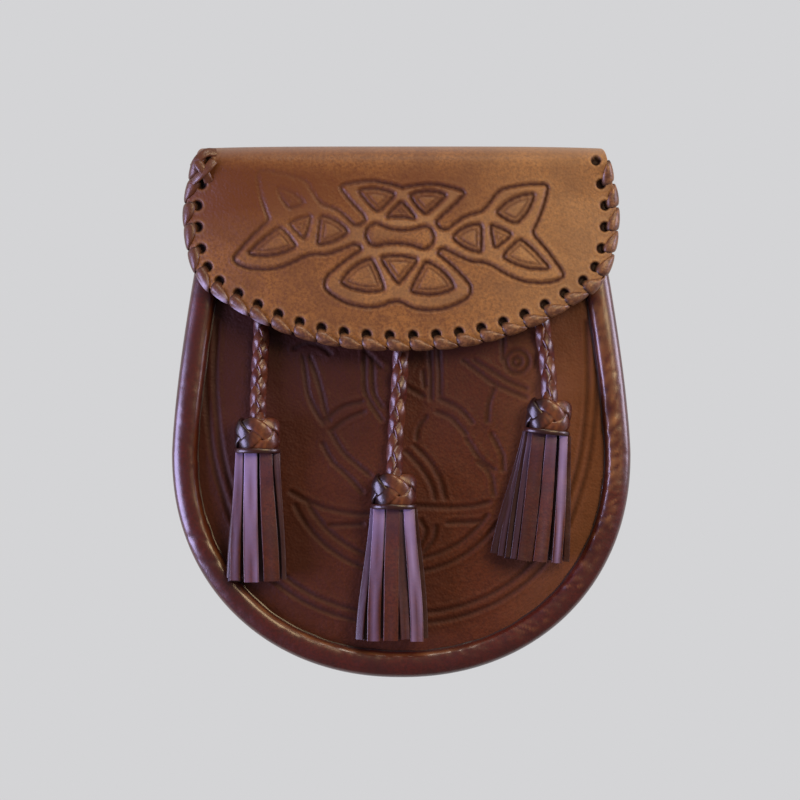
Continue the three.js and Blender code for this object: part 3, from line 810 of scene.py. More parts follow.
@dataclass(frozen=True)
class FlapForm:
    """The flap from its tail on the back, over the fold, to its lower edge, in millimetres."""

    pouch: PouchForm
    half: float = 83.3
    drop: float = 78.3
    corner_drop: float = 54
    corner_half: float = 75.4
    lower_edge_power: float = 2.4
    tail_drop: float = 34
    tail_half: float = 60
    tail_flare: float = 2
    front_radius: float = 8
    back_radius: float = 5
    slope: float = math.radians(3.7)
    crown: float = 7
    fold_crown: float = 1
    crown_power: float = 4
    crown_run: float = 14
    rest: float = 2
    leather: float = 2.4
    hole_inset: float = 4.6
    stitch_pitch: float = 9
    lace_lead: float = 4

    @property
    def fold_top(self) -> float:
        """Height of the leather's middle at the fold."""
        return self.pouch.height - self.leather / 2

    @property
    def tail_level(self) -> float:
        """Height of the tail's middle above the surface the pouch lies on."""
        return self.pouch.back_face - self.pouch.seat_gap - self.leather / 2

    @property
    def front_turn(self) -> tuple[float, float]:
        """Centre of the fold's front turn.

        Returns:
            How far it is up the pouch and out of it.
        """
        pouch = self.pouch
        corner = pouch.height - self.corner_drop
        roll = float(pouch.half_width(np.array(corner))) - pouch.roll_width / 2
        droop = self.crown * (roll / self.half) ** self.crown_power
        level = float(pouch.crest(np.array(corner))) + pouch.seat_gap + self.rest + self.leather / 2 + droop
        y = self.fold_top - self.front_radius
        end = y + self.front_radius * math.sin(self.slope)
        height = level - (end - corner) * math.tan(self.slope)
        return y, height - self.front_radius * math.cos(self.slope)

    @property
    def back_turn(self) -> tuple[float, float]:
        """Centre of the fold's back turn, up the pouch and out of it."""
        return self.fold_top - self.back_radius, self.tail_level + self.back_radius

    @property
    def starts(self) -> tuple[float, float, float, float]:
        """Where the flap's stretches start, as lengths from the tail's end.

        Returns:
            The starts of the back turn, the top, the front turn and the front.
        """
        back_turn = self.back_turn[0] - (self.pouch.height - self.tail_drop)
        top = back_turn + self.back_radius * math.pi / 2
        front_turn = top + self.front_turn[1] - self.back_turn[1]
        return back_turn, top, front_turn, front_turn + self.front_radius * (math.pi / 2 - self.slope)

    @property
    def front_end(self) -> float:
        """Height above the pouch's bottom at which the fold's front turn ends."""
        return self.front_turn[0] + self.front_radius * math.sin(self.slope)

    @property
    def corner_length(self) -> float:
        """Length of the front down to its lower corners."""
        return (self.front_end - (self.pouch.height - self.corner_drop)) / math.cos(self.slope)

    @property
    def middle_length(self) -> float:
        """Length of the front down to the middle of its lower edge."""
        return (self.front_end - (self.pouch.height - self.drop)) / math.cos(self.slope)

    def point(self, x: Values, length: Values, out: Values | float) -> Points:
        """Places spots of the flap.

        Args:
            x: Across the flap.
            length: Along it from the tail's end.
            out: Out from the middle of its leather.

        Returns:
            Their points in the frame, in millimetres.
        """
        back_turn, top, front_turn, front = self.starts
        (front_y, front_z), (back_y, back_z) = self.front_turn, self.back_turn
        back_angle = np.clip((length - back_turn) / self.back_radius, 0, math.pi / 2)
        front_angle = np.clip((length - front_turn) / self.front_radius, 0, math.pi / 2 - self.slope)
        straight = np.maximum(0, length - front)
        is_back = length <= top
        is_top = (length > top) & (length <= front_turn)
        tail = np.minimum(0, length - back_turn)
        out_y = np.where(is_back, np.sin(back_angle), np.where(is_top, 1, np.cos(front_angle)))
        out_z = np.where(is_back, -np.cos(back_angle), np.where(is_top, 0, np.sin(front_angle)))
        y_back = back_y + tail + self.back_radius * np.sin(back_angle)
        z_back = back_z - self.back_radius * np.cos(back_angle)
        y_front = front_y + self.front_radius * np.cos(front_angle) - straight * math.cos(self.slope)
        z_front = front_z + self.front_radius * np.sin(front_angle) + straight * math.sin(self.slope)
        y = np.where(is_back, y_back, np.where(is_top, self.fold_top, y_front))
        z = np.where(is_back, z_back, np.where(is_top, back_z + length - top, z_front))
        droop = np.abs(x / self.half) ** self.crown_power
        over_top = smooth(length, back_turn, front_turn)
        on_front = smooth(length, front_turn, front + self.crown_run)
        crown = self.fold_crown * over_top + (self.crown - self.fold_crown) * on_front
        lift = out - crown * droop
        return self.pouch.in_frame(np.column_stack([x + 0 * y, y + out_y * lift, z + out_z * lift]))

    def side_half(self, length: Values) -> Values:
        """Half of the flap's width at a length.

        Args:
            length: Places along the flap from the tail's end.

        Returns:
            Half of the width at each.
        """
        back_turn, top, front_turn, front = self.starts
        drop = self.corner_length
        table = [
            (0, self.tail_half),
            (back_turn, self.tail_half),
            (top, self.tail_half + self.tail_flare),
            (front_turn, 0.93 * self.half),
            (front, 0.965 * self.half),
            (front + 0.3 * drop, self.half),
            (front + 0.6 * drop, 0.992 * self.half),
            (front + 0.85 * drop, 0.957 * self.half),
            (front + drop, self.corner_half),
        ]
        at, half = np.array(table).T
        return eased_table(at, half, length)

    def bow(self, length: Values, share: Values) -> Values:
        """How far the middle of a row runs below its ends.

        Args:
            length: Places along the flap from the tail's end.
            share: Places across, from -1 to 1.

        Returns:
            How far each place is moved along.
        """
        front = self.starts[3]
        deep = smooth(length, front, front + self.corner_length) * (self.middle_length - self.corner_length)
        return deep * (1 - np.abs(share) ** self.lower_edge_power)

    def edge(self) -> tuple[Points, Values]:
        """Walks the laced edge from the fold's left side, round below, to its right side.

        Returns:
            Flat places (across, length) and their distances along the edge.
        """
        front = self.starts[3]
        low = front + self.corner_length
        down = np.linspace(front - self.lace_lead, low, 60)
        left = np.column_stack([-self.side_half(down), down])
        share = np.linspace(-1, 1, 121)[1:]
        bow = self.bow(np.full(len(share), low), share)
        bottom = np.column_stack([share * self.corner_half, low + bow])
        right = (left[::-1] * [-1, 1])[1:]
        places = np.concatenate([left, bottom, right])
        return places, lengths_along(places)

    def stitches(self) -> tuple[int, float]:
        """Count and pitch of the stitches.

        Returns:
            The count and the pitch.
        """
        length = self.edge()[1][-1]
        count = round(length / self.stitch_pitch)
        return count, length / count

    def edge_point(self, distance: Values, inset: Values, out: Values) -> Points:
        """Places spots of the laced edge.

        Args:
            distance: How far along the edge.
            inset: How far in from the edge.
            out: Out from the middle of the leather.

        Returns:
            Their points in the frame, in millimetres.
        """
        places, lengths = self.edge()
        distance = np.clip(distance, 0, lengths[-1])
        fine = even_path(places, 400)
        inward = to_right_of(fine)
        at = np.linspace(0, lengths[-1], 400)
        across, length = (
            np.interp(distance, at, place) + np.interp(distance, at, side) * inset
            for place, side in zip(fine.T, inward.T)
        )
        return self.point(across, length, out)


# Tooled designs


@dataclass(frozen=True)
class FlapDesign:
    """Pressed interlace on the flap, in millimetres about its own middle; the right half is mirrored."""

    middle: tuple[float, float] = (-0.5, 170.6)  # across, and above the pouch's bottom
    turn: float = math.radians(-2.8)
    line: float = 0.72  # half width of a pressed line
    depth: float = 0.78
    inner_inset: float = 1.9  # from a cell's line to the fine line inside it
    inner_line: float = 0.5
    inner_depth: float = 0.42
    pillow: float = 0.45  # how far a cell bulges
    ribbon: float = 0.34  # how far the ribbon between the lines bulges
    lip: float = 0.16  # how far the hide rises beside a line
    round: float = 1.2
    border_round: float = 1.7

    # Corners are across, up, and how far the side that follows bows to its left.
    BORDER = (
        (0.0, 18.8, 0.3), (12.0, 20.8, 0.4), (24.6, 18.2, 0.4), (13.2, 6.3, 0.0), (13.6, 4.6, 0.4),
        (17.0, 2.6, 0.0), (24.0, 8.6, 0.3), (31.0, 10.8, -0.2), (37.0, 19.5, 1.0), (56.2, 22.8, 1.0),
        (50.5, 3.8, 0.6), (64.2, -12.2, 0.4), (58.5, -15.0, 0.5), (47.0, -14.8, 0.4), (36.0, -9.4, -0.5),
        (28.0, -8.6, 0.2), (16.4, -3.4, 0.4),
        (14.0, -5.6, 0.4), (26.6, -16.0, 0.5), (28.4, -20.2, 0.5), (25.6, -23.6, 1.0), (12.5, -28.0, 0.9),
        (2.5, -25.6, -0.2), (0.0, -25.2, 0.0),
    )
    BAR = (
        (-13.3, 0.0, 1.2), (-9.3, 4.5, -2.2), (9.3, 4.5, 1.2),
        (13.0, 0.0, 1.2), (9.3, -4.7, -1.7), (-9.3, -4.4, 1.2),
    )
    CROWN_CELL = ((-5.8, 6.8, 0.3), (0.0, 13.4, 0.3), (5.8, 6.8, -0.6))
    FOOT_CELL = ((-7.2, -8.6, 0.9), (7.2, -8.6, 0.3), (0.3, -18.6, 0.3))
    SIDE_CELLS = (
        ((2.8, 16.0, 1.5), (17.0, 16.8, 0.4), (9.2, 8.8, 0.4)),
        ((10.5, -9.2, 1.6), (22.0, -19.0, 1.9), (5.0, -21.0, 0.3)),
        ((36.5, 11.0, 1.9), (51.0, 19.0, 1.2), (44.5, 7.0, 0.4)),
        ((39.8, -6.0, 0.6), (46.5, 1.2, 0.5), (58.2, -9.6, 1.9)),
        ((34.6, 6.2, 0.3), (43.0, 2.8, 0.3), (36.6, -3.0, 0.2)),
        ((31.0, 6.2, 0.0), (31.6, -4.8, 1.2), (20.0, 0.6, 1.4)),
    )

    FADED_CELL = 2  # on the left it is drawn by the next row instead
    UPPER_LEFT_CELL = ((-37.5, 11.2, 0.3), (-43.0, 8.6, 0.6), (-48.0, 16.4, 1.0))

    def on_design(self, x: Values, y: Values) -> Points:
        """Turns places on the flap into the design's own.

        Args:
            x: Places across the pouch.
            y: Places above the pouch's bottom.

        Returns:
            The places, across and up.
        """
        dx, dy = x - self.middle[0], y - self.middle[1]
        cos, sin = math.cos(self.turn), math.sin(self.turn)
        return np.column_stack([dx * cos + dy * sin, dy * cos - dx * sin])

    def cells(self) -> list[Points]:
        """Outlines of all closed cells.

        Returns:
            A closed path for each, the bar's first.
        """
        alone = (self.BAR, self.CROWN_CELL, self.FOOT_CELL, self.UPPER_LEFT_CELL)
        single = [soften(bowed_path(cell), self.round) for cell in alone]
        right = [soften(bowed_path(cell), self.round) for cell in self.SIDE_CELLS]
        left = [path * [-1, 1] for i, path in enumerate(right) if i != self.FADED_CELL]
        return single + right + left

    def relief(self, x: Values, y: Values) -> tuple[Values, Values, Values]:
        """Works out the design's relief.

        Args:
            x: Places across the flap.
            y: Places above the pouch's bottom.

        Returns:
            Height in millimetres, how far each place is darkened along the pressed lines, as tooling and
            painted shade, and how far it is lightened on the raised cells and the ribbon.
        """
        spots = self.on_design(x, y)
        height, tooling_and_shade, light = (np.zeros(len(spots)) for _ in range(3))
        near = (np.abs(spots[:, 0]) < 70) & (spots[:, 1] < 28) & (spots[:, 1] > -34)
        local = spots[near]
        across, up = local.T
        border = soften(bowed_path(self.BORDER, closed=False), self.border_round, closed=False)
        nearest = np.minimum(distance_to(local, border), distance_to(local, border * [-1, 1]))
        within = inside(local, np.concatenate([border, (border * [-1, 1])[::-1]]))
        raised, inner = np.zeros(len(local)), np.zeros(len(local))
        for number, cell in enumerate(self.cells()):
            away = distance_to(local, cell)
            nearest = np.minimum(nearest, away)
            held = inside(local, cell)
            raised += held * smooth(away, 0.6, 3.2) * self.pillow
            if number > 0:  # the bar comes first and has no fine line
                inner += held * ridge(away - self.inner_inset, self.inner_line)
        cell_light = np.clip(raised / self.pillow, 0, 1) * (1 - inner)
        crest = (within & (raised == 0)) * smooth(nearest, 0.7, 2.2)
        raised += crest * self.ribbon
        wander = 0.14 * np.sin(1.9 * across + 0.8 * up) * np.sin(1.3 * up - 0.6 * across)
        line = ridge(nearest + wander, self.line)
        lip = ridge(nearest - 1.4, 0.5) * self.lip
        faded_left = 1 - 0.5 * smooth(-across, -5, 45) * smooth(up, -12, 12)
        fade = faded_left * (1 - 0.6 * smooth(-across, 24, 38) * smooth(up, 9, 16))
        height[near] = (raised - inner * self.inner_depth - line * self.depth + lip) * fade
        between = (cell_light > 0) * (1 - cell_light) * 0.08
        tooling_and_shade[near] = np.clip(line + inner * 0.45 + between, 0, 1) * fade
        to_middle = ridge(np.hypot(across - 5, up), 26)
        light[near] = (0.08 * cell_light + (0.05 + 0.2 * to_middle) * crest) * fade
        return height, tooling_and_shade, light


@dataclass(frozen=True)
class PanelDesign:
    """Blind lines pressed into the front panel, in millimetres from the pouch's middle and bottom."""

    line: float = 0.8  # half width of a pressed line
    depth: float = 0.55
    lip: float = 0.2  # how far the hide rises beside a line

    RING_MIDDLE = (0.0, 86.0)
    RING_RADII = (45.5, 40.5)
    BORDER = (
        (75, 140), (76, 118), (75, 100), (73, 85), (69.5, 72),
        (64, 57.5), (54, 42), (38, 29.5), (19, 22.5), (0, 20.5),
    )
    BORDER_STEP = 4.0
    STROKES = {
        "left arc outer": ((-38, 124.5), (-37, 117), (-36, 110), (-33.5, 104), (-30, 98.5)),
        "left arc inner": ((-35.5, 124.5), (-33, 118), (-31, 111), (-29.5, 104), (-28, 99.5)),
        "left arch": ((-41.5, 127.5), (-37, 129.5), (-31.5, 128.5), (-27.5, 125.5)),
        "knot up outer": ((-29.5, 100), (-22.5, 105), (-15, 107)),
        "knot up inner": ((-27.5, 95.5), (-21.5, 100), (-14.5, 103)),
        "knot down inner": ((-26.5, 94), (-21.5, 86.5), (-12, 78.5)),
        "knot down outer": ((-30.5, 90.5), (-26.5, 83.5), (-21.5, 79), (-15, 72)),
        "stem left outer": ((-14, 124), (-14, 113), (-12, 107), (-7.5, 100)),
        "stem left inner": ((-11, 124), (-10.5, 111), (-7.5, 105)),
        "stem left fork": ((-14, 126.5), (-8, 120.5)),
        "stem right inner": ((11, 127), (11.5, 117), (11.5, 108)),
        "stem right outer": ((14.5, 127), (15, 117), (15, 110)),
        "right ribbon upper": ((15, 108), (20.5, 105.5), (24, 103), (27.5, 99)),
        "right ribbon lower": ((14, 103), (19.5, 100.5), (25, 94.5)),
        "right arc outer": ((5, 90), (10.5, 84.5), (15, 77), (17, 69.5)),
        "right arc inner": ((2, 87.5), (7.5, 81.5), (11.5, 75), (13, 69.5)),
        "right hook": ((9.5, 101), (6.5, 96.5), (6, 92.5)),
        "band upper left": ((-43, 72), (-35.5, 68), (-26.5, 65), (-16, 63.5), (-5, 64)),
        "band upper right": ((-2, 66), (6.5, 66.5), (17.5, 66), (27, 66.5), (34, 68)),
        "band lower left": ((-27.5, 59), (-15, 59.5)),
        "band lower right": ((18, 60), (30.5, 60.5)),
        "ring side upper": ((36, 112), (34, 106), (33.5, 99.5)),
        "ring side middle": ((35, 94.5), (39, 86.5), (39.5, 80.5)),
        "ring side lower": ((30, 83.5), (34.5, 79), (36, 71)),
        "knee": ((25.5, 92.5), (31, 84.5), (36, 80.5)),
        "diagonal lower": ((24, 123), (30, 118.5), (37, 113.5), (48.5, 108.5)),
        "diagonal upper": ((28.5, 123), (36, 118.5), (41.5, 115), (48.5, 112)),
        "upright": ((39.5, 132), (39.5, 123.5)),
        "short upright": ((8.5, 118.5), (9, 113)),
        "short slant": ((2.5, 112.5), (8.5, 109)),
        "low hook outer": ((7.5, 61), (9.5, 56.5), (7.5, 51.5), (6, 47.5)),
        "low hook inner": ((13.5, 58.5), (12.5, 53.5), (8.5, 48.5)),
    }
    BOSS_MIDDLE = (45.0, 122.5)
    BOSS_RADII = (4.4, 1.6)
    LOWER_ARCS = ((math.radians(205), math.radians(262)), (math.radians(278), math.radians(325)))

    def paths(self) -> list[Points]:
        """All pressed lines.

        Returns:
            A path for each.
        """
        strokes = []
        for points in self.STROKES.values():
            strokes.append(smooth_path(np.array(points, float), 6 * len(points)))
        border = smooth_path(np.array(self.BORDER, float), 60)
        inner = border - unit(border - np.array(self.RING_MIDDLE)) * self.BORDER_STEP
        frame_lines = [side * [sign, 1] for side in (border, inner) for sign in (-1, 1)]
        arcs = []
        rounds = [(self.RING_MIDDLE, self.RING_RADII, start, end) for start, end in self.LOWER_ARCS]
        rounds.append((self.BOSS_MIDDLE, self.BOSS_RADII, 0, 2 * math.pi))
        for middle, radii, start, end in rounds:
            turn = np.linspace(start, end, 24)
            circle = np.column_stack([np.cos(turn), np.sin(turn)])
            arcs += [np.array(middle) + circle * radius for radius in radii]
        return strokes + frame_lines + arcs

    def relief(self, x: Values, y: Values) -> tuple[Values, Values]:
        """Works out the lines' relief.

        Args:
            x: Places across the pouch.
            y: Places above its bottom.

        Returns:
            Height in millimetres, and how far each place is worked by the tool.
        """
        spots = np.column_stack([x, y])
        nearest = np.full(len(spots), np.inf)
        for path in self.paths():
            low, high = path.min(0) - 3, path.max(0) + 3
            near = np.all((spots > low) & (spots < high), axis=1)
            nearest[near] = np.minimum(nearest[near], distance_to(spots[near], path))
        line = ridge(nearest, self.line)
        lip = ridge(nearest - 1.7, 0.7) * self.lip
        return lip - line * self.depth, line * 0.55


# Pieces


@dataclass
class FlapSkin:
    """The flap: one thick hide with pressed interlace and punched holes."""

    form: FlapForm
    design: FlapDesign
    finish: Material
    hole_radius: float = 2.15
    hole_depth: float = 2.1
    hole_rim: float = 0.14
    edge_round: float = 0.7
    fine: float = 0.44  # mm between columns
    marks: Marks = field(default_factory=dict, init=False)

    def build(self) -> Piece:
        """Builds the flap.

        Returns:
            The piece.
        """
        shell = new_shell()
        corners = lay_grid(shell, self.columns(), self.rows(), self.face)
        set_marks(shell, corners, self.marks)
        lay_grid(shell, np.linspace(-1, 1, 61), self.coarse_rows(), self.underside)
        close_sheet(shell)
        return finish_piece(shell, "flap_skin", "flap", self.finish)

    def columns(self) -> Values:
        """Columns as shares of the half width, closer at the sides' round edges.

        Returns:
            The columns.
        """
        half = self.form.half
        edge = np.array([0.0, 0.12, 0.3, 0.55, 0.9]) / half
        body = np.linspace(-1 + 1.3 / half, 1 - 1.3 / half, round(2 * half / self.fine))
        return np.concatenate([edge - 1, body, 1 - edge[::-1]])

    def rows(self) -> Values:
        """Rows as lengths along the flap, closest on its tooled front.

        Returns:
            The rows.
        """
        back_turn, top, front_turn, front = self.form.starts
        low = front + self.form.corner_length
        tooled = front + 0.3 * self.form.corner_length
        stretches = (
            (back_turn, top, 9),
            (top, front_turn, 16),
            (front_turn, front, 20),
            (front, tooled, 36),
            (tooled, low - 0.8, 106),
        )
        rows = [np.linspace(start, end, count)[1:] for start, end, count in stretches]
        tail = [np.array([0.0, 0.3, 0.9]), np.linspace(2, back_turn, 8)]
        return np.concatenate([*tail, *rows, low - np.array([0.5, 0.28, 0.12, 0.0])])

    def coarse_rows(self) -> Values:
        """Rows of the flap's underside.

        Returns:
            The rows.
        """
        back_turn, top, front_turn, front = self.form.starts
        stretches = [(0, back_turn, 6), (back_turn, top, 6), (top, front_turn, 6), (front_turn, front, 10)]
        rows = [np.linspace(low, high, count)[:-1] for low, high, count in stretches]
        return np.concatenate([*rows, np.linspace(front, front + self.form.corner_length, 30)])

    def face(self, share: Values, row: Values) -> Points:
        """Places the outer face's corners and keeps their marks.

        Args:
            share: Places across, from -1 to 1.
            row: Places along the flap from the tail's end.

        Returns:
            The corners' places in the frame.
        """
        form = self.form
        _, _, front_turn, front = form.starts
        low = front + form.corner_length
        x = share * form.side_half(row)
        length = row + form.bow(row, share)
        flat = form.point(x, length, form.leather / 2)
        level = flat[:, 1] + form.pouch.height / 2
        off_design = -100  # a level that no line of the design reaches
        height, tooling_and_shade, light = self.design.relief(flat[:, 0], np.where(row > front - 1, level, off_design))
        to_edge = np.minimum((1 - np.abs(share)) * form.half, np.minimum(low - row, row) * 1.4)
        inner = np.clip(1 - to_edge / self.edge_round, 0, 1)
        height = height - self.edge_round * (1 - np.sqrt(1 - inner**2 * 0.98))
        holes, ring = self.holes(flat)
        height = height - self.hole_depth * holes + self.hole_rim * ring
        turned = (row - front_turn) / (front - front_turn)
        self.marks = self.shading(flat[:, 0], form.pouch.height - level, turned)
        self.marks[Mark.TOOLING_AND_SHADE] = tooling_and_shade
        self.marks[Mark.HOLLOW] = np.clip(2.2 * holes, 0, 1)
        # Painted light on the flap's right side and a painted highlight on the holes' raised rims, over the
        # design's lighter cells and ribbon.
        to_right = 0.14 * smooth(flat[:, 0], 5, 60)
        self.marks[Mark.WEAR_AND_HIGHLIGHT] = np.clip(np.maximum(0.1 * ring, light) + to_right, 0, 1)
        return form.point(x, length, form.leather / 2 + height)

    def shading(self, x: Values, down: Values, turned: Values) -> Marks:
        """Works out the painted shade under the fold and over the top left, and the painted sheen on the
        fold's front turn.

        Args:
            x: Places across the flap.
            down: How far they are below the fold.
            turned: How far round the fold's front turn they are, from 0 to 1.

        Returns:
            The painted shade mark and the painted sheen mark.
        """
        # Painted shade in a band below the fold and over the top left; painted sheen over the fold's front
        # turn.
        under_fold = smooth(down, 5, 14) * (1 - smooth(down, 18, 34)) * (1 - smooth(x, 10, 80))
        top_left = (1 - smooth(x, -75, 10)) * (1 - smooth(down, 22, 55))
        return {
            Mark.DYE_AND_SHADE: np.clip(0.6 * under_fold + 0.66 * top_left, 0, 1),
            Mark.PAINTED_SHEEN: 0.45 * smooth(turned, -0.3, 0.1) * (1 - smooth(turned, 0.2, 0.75)),
        }

    def underside(self, share: Values, row: Values) -> Points:
        """Places the underside's corners."""
        x = share * self.form.side_half(row)
        return self.form.point(x, row + self.form.bow(row, share), -self.form.leather / 2)

    def holes(self, points: Points) -> tuple[Values, Values]:
        """Works out where the punched holes and their raised rims are, each from 0 to 1.

        Args:
            points: Places on the flap.

        Returns:
            How far each is in a hole, and on a rim.
        """
        count, pitch = self.form.stitches()
        distance = np.arange(count + 1) * pitch
        inset = np.full(count + 1, self.form.hole_inset)
        centres = self.form.edge_point(distance, inset, self.form.leather / 2)
        nearest = np.full(len(points), np.inf)
        for centre in centres:
            nearest = np.minimum(nearest, np.linalg.norm(points - centre, axis=1))
        hole = 1 - smooth(nearest, self.hole_radius - 0.9, self.hole_radius + 0.1)
        ring = ridge(nearest - self.hole_radius - 0.6, 0.5)
        return hole, ring


@dataclass
class Lacing:
    """The thong whip-stitched over the flap's edge: a puffy band from each hole, round and back up."""

    form: FlapForm
    finish: Material
    start_width: float = 3.7
    start_thickness: float = 1.6

    # advance as a share of the pitch, inset and out in mm, width along the edge and thickness in mm
    STITCH = (
        (0.04, 4.4, -1.6, 3.0, 0.9),
        (0.06, 3.9, -0.7, 3.6, 1.2),
        (0.10, 3.2, 0.5, 4.6, 1.5),
        (0.17, 2.3, 1.25, 6.0, 1.8),
        (0.26, 1.3, 1.45, 7.4, 1.9),
        (0.35, 0.3, 1.25, 8.4, 1.9),
        (0.42, -0.45, 0.45, 8.8, 1.7),
        (0.46, -0.6, -0.8, 8.6, 1.5),
        (0.52, 0.0, -1.8, 7.6, 1.3),
        (0.66, 1.4, -2.05, 5.6, 1.1),
        (0.82, 3.0, -2.0, 4.4, 1.1),
        (0.94, 4.2, -1.9, 3.4, 1.0),
    )
    # bands that lock the lace's start: across, along from the fold's end, out of the leather, in mm
    START = (
        ((-72.4, -2.6, 1.5), (-75.0, 0.6, 2.7), (-78.6, 3.6, 2.4), (-81.4, 5.6, 0.4)),
        ((-79.6, -4.2, 0.4), (-78.0, -1.2, 2.5), (-75.6, 2.4, 2.6), (-74.4, 5.2, 1.2)),
        ((-71.6, -6.4, 1.3), (-75.2, -5.6, 2.4), (-78.4, -3.4, 2.0), (-80.6, -0.4, 0.4)),
    )

    def build(self) -> Piece:
        """Builds the lacing.

        Returns:
            The piece.
        """
        shell = new_shell()
        self.lay_stitches(shell)
        self.lay_start(shell)
        return finish_piece(shell, "lacing", "flap_lacing", self.finish)

    def lay_stitches(self, shell: Shell) -> None:
        """Lays a band for each hole, no two quite alike.

        Args:
            shell: The mesh that it is added to.
        """
        count, pitch = self.form.stitches()
        advance, inset, out, wide, thick = smooth_path(np.array(self.STITCH), 34).T
        step = 0.6  # mm to each side, over which the edge's direction is taken
        rng = np.random.default_rng(11)
        for stitch in range(count):
            wobble = rng.normal(0, 1, 3)
            distance = (stitch + advance + 0.02 * wobble[0]) * pitch
            middle = self.form.edge_point(distance, inset, out)
            ahead = self.form.edge_point(distance + step, inset, out)
            behind = self.form.edge_point(distance - step, inset, out)
            edgewise = unit(ahead - behind)
            width = wide * (1 + 0.03 * wobble[1])
            thickness = thick * (1 + 0.05 * wobble[2])
            made = lay_tube(shell, middle, edgewise, width, thickness, 16, 2.0, across=edgewise)
            marks = self.shading(made, middle, edgewise, width)
            # The bands are darker towards the left end.
            marks[Mark.DYE_AND_SHADE] = 0.2 + 0.7 * (1 - smooth(middle[0, 0], -80, -30))
            set_marks(shell, made, marks)

    def lay_start(self, shell: Shell) -> None:
        """Lays the bands that lock the lace's start.

        Args:
            shell: The mesh that it is added to.
        """
        front = self.form.starts[3]
        for band in self.START:
            across, along, out = smooth_path(np.array(band), 16).T
            path = self.form.point(across, front + along, self.form.leather / 2 + out - 1.2)
            facing = np.tile([-0.2, 0.4, 1.0], (len(path), 1))
            made = lay_tube(shell, path, facing, self.start_width, self.start_thickness, 14, 2.2)
            set_marks(shell, made, {Mark.DYE_AND_SHADE: 0.85})

    def shading(self, corners: Corners, middle: Points, edgewise: Points, width: Values) -> Marks:
        """Works out the painted shade on a band: at its sides, where it meets the next one, and in the
        hole.

        Args:
            corners: The band's corners.
            middle: The band's middle line.
            edgewise: Which way its width runs at each point of that.
            width: Its width there.

        Returns:
            The band's marks, with a painted reflection on the stitches at the lower left.
        """
        points = places_of(corners)
        near = np.linalg.norm(points[:, None] - middle[None], axis=2).argmin(axis=1)
        off = np.einsum("ij,ij->i", points - middle[near], edgewise[near])
        side = np.abs(off) / (width[near] / 2)
        station = near.astype(float)
        to_left = -points[:, 0]
        low_left = smooth(to_left, 48, 60) * (1 - smooth(to_left, 75, 81)) * (1 - smooth(side, 0.5, 0.8))
        # Painted shade at the band's sides and in the hole; painted reflection at the lower left.
        return {
            Mark.TOOLING_AND_SHADE: 0.85 * smooth(side, 0.7, 0.96),
            Mark.HOLLOW: 0.8 * (1 - smooth(station, 2, 8)),
            Mark.PAINTED_SHEEN: 0.95 * low_left * ridge(station - 18.5, 2.6),
        }


@dataclass
class FrontPanel:
    """The front of the pouch: a domed panel with blind lines."""

    pouch: PouchForm
    design: PanelDesign
    finish: Material
    pitch: float = 0.7  # mm between rows and between columns where the panel is seen
    shown_from: float = 20
    shown_to: float = 152
    widest: float = 166
    marks: Marks = field(default_factory=dict, init=False)
    rim: Points | None = field(default=None, init=False)

    def build(self) -> Piece:
        """Builds the front panel.

        Returns:
            The piece.
        """
        shell = new_shell()
        self.rim = self.pouch.panel_rim(self.pouch.front_mouth)
        low, high = self.rim[2, 1], self.rim[-1, 1]
        seen = self.shown_to - self.shown_from
        rows = np.concatenate(
            [
                low + (self.shown_from - low) * np.linspace(0, 1, 26)[:-1] ** 1.6,
                np.linspace(self.shown_from, self.shown_to, round(seen / self.pitch)),
                np.linspace(self.shown_to, high, 12)[1:],
            ]
        )
        columns = np.linspace(-1, 1, round(self.widest / self.pitch))
        corners = lay_grid(shell, columns, rows, self.face)
        set_marks(shell, corners, self.marks)
        coarse = low + (high - low) * np.linspace(0, 1, 41) ** 1.3
        lay_grid(shell, np.linspace(-1, 1, 41), coarse, self.underside)
        close_sheet(shell)
        return finish_piece(shell, "front_skin", "front_panel", self.finish)

    def half(self, y: Values) -> Values:
        """Half of the panel's width at a height."""
        return np.interp(y, self.rim[:, 1], self.rim[:, 0])

    def face(self, share: Values, y: Values) -> Points:
        """Places the outer face's corners and keeps their marks.

        Args:
            share: Places across, from -1 to 1.
            y: Places above its bottom.

        Returns:
            The corners' places in the frame.
        """
        x = share * self.half(y)
        height, tooling_and_shade = self.design.relief(x, y)
        # Painted shade: darker to the left and towards the flap above; painted light on the right side.
        to_left = 1 - smooth(x, -70, 60)
        dye_and_shade = 0.15 + 0.45 * to_left + 0.45 * smooth(y, 60, 135) - 0.35 * smooth(x, 40, 75)
        self.marks = {
            Mark.TOOLING_AND_SHADE: tooling_and_shade,
            Mark.DYE_AND_SHADE: np.clip(dye_and_shade, 0, 1),
            Mark.WEAR_AND_HIGHLIGHT: 0.42 * smooth(x, 30, 66) * (1 - 0.5 * smooth(y, 110, 140)),
        }
        z = self.pouch.panel_edge(y) + self.pouch.dome(x, y) + height
        return self.pouch.in_frame(np.column_stack([x, y, z]))

    def underside(self, share: Values, y: Values) -> Points:
        """Places the inner face's corners.

        Args:
            share: Places across, from -1 to 1.
            y: Places above its bottom.

        Returns:
            The corners' places in the frame.
        """
        x = share * self.half(y)
        z = self.pouch.panel_edge(y) + self.pouch.dome(x, y) - self.pouch.front_leather
        return self.pouch.in_frame(np.column_stack([x, y, z]))


@dataclass(frozen=True)
class Crease:
    """A pucker of the turned leather."""

    station: float  # where it is along the outline
    slant: float  # how many stations it shifts over 10 mm across
    width: float  # in stations
    depth: float  # mm
    middle: float  # mm across from the outside


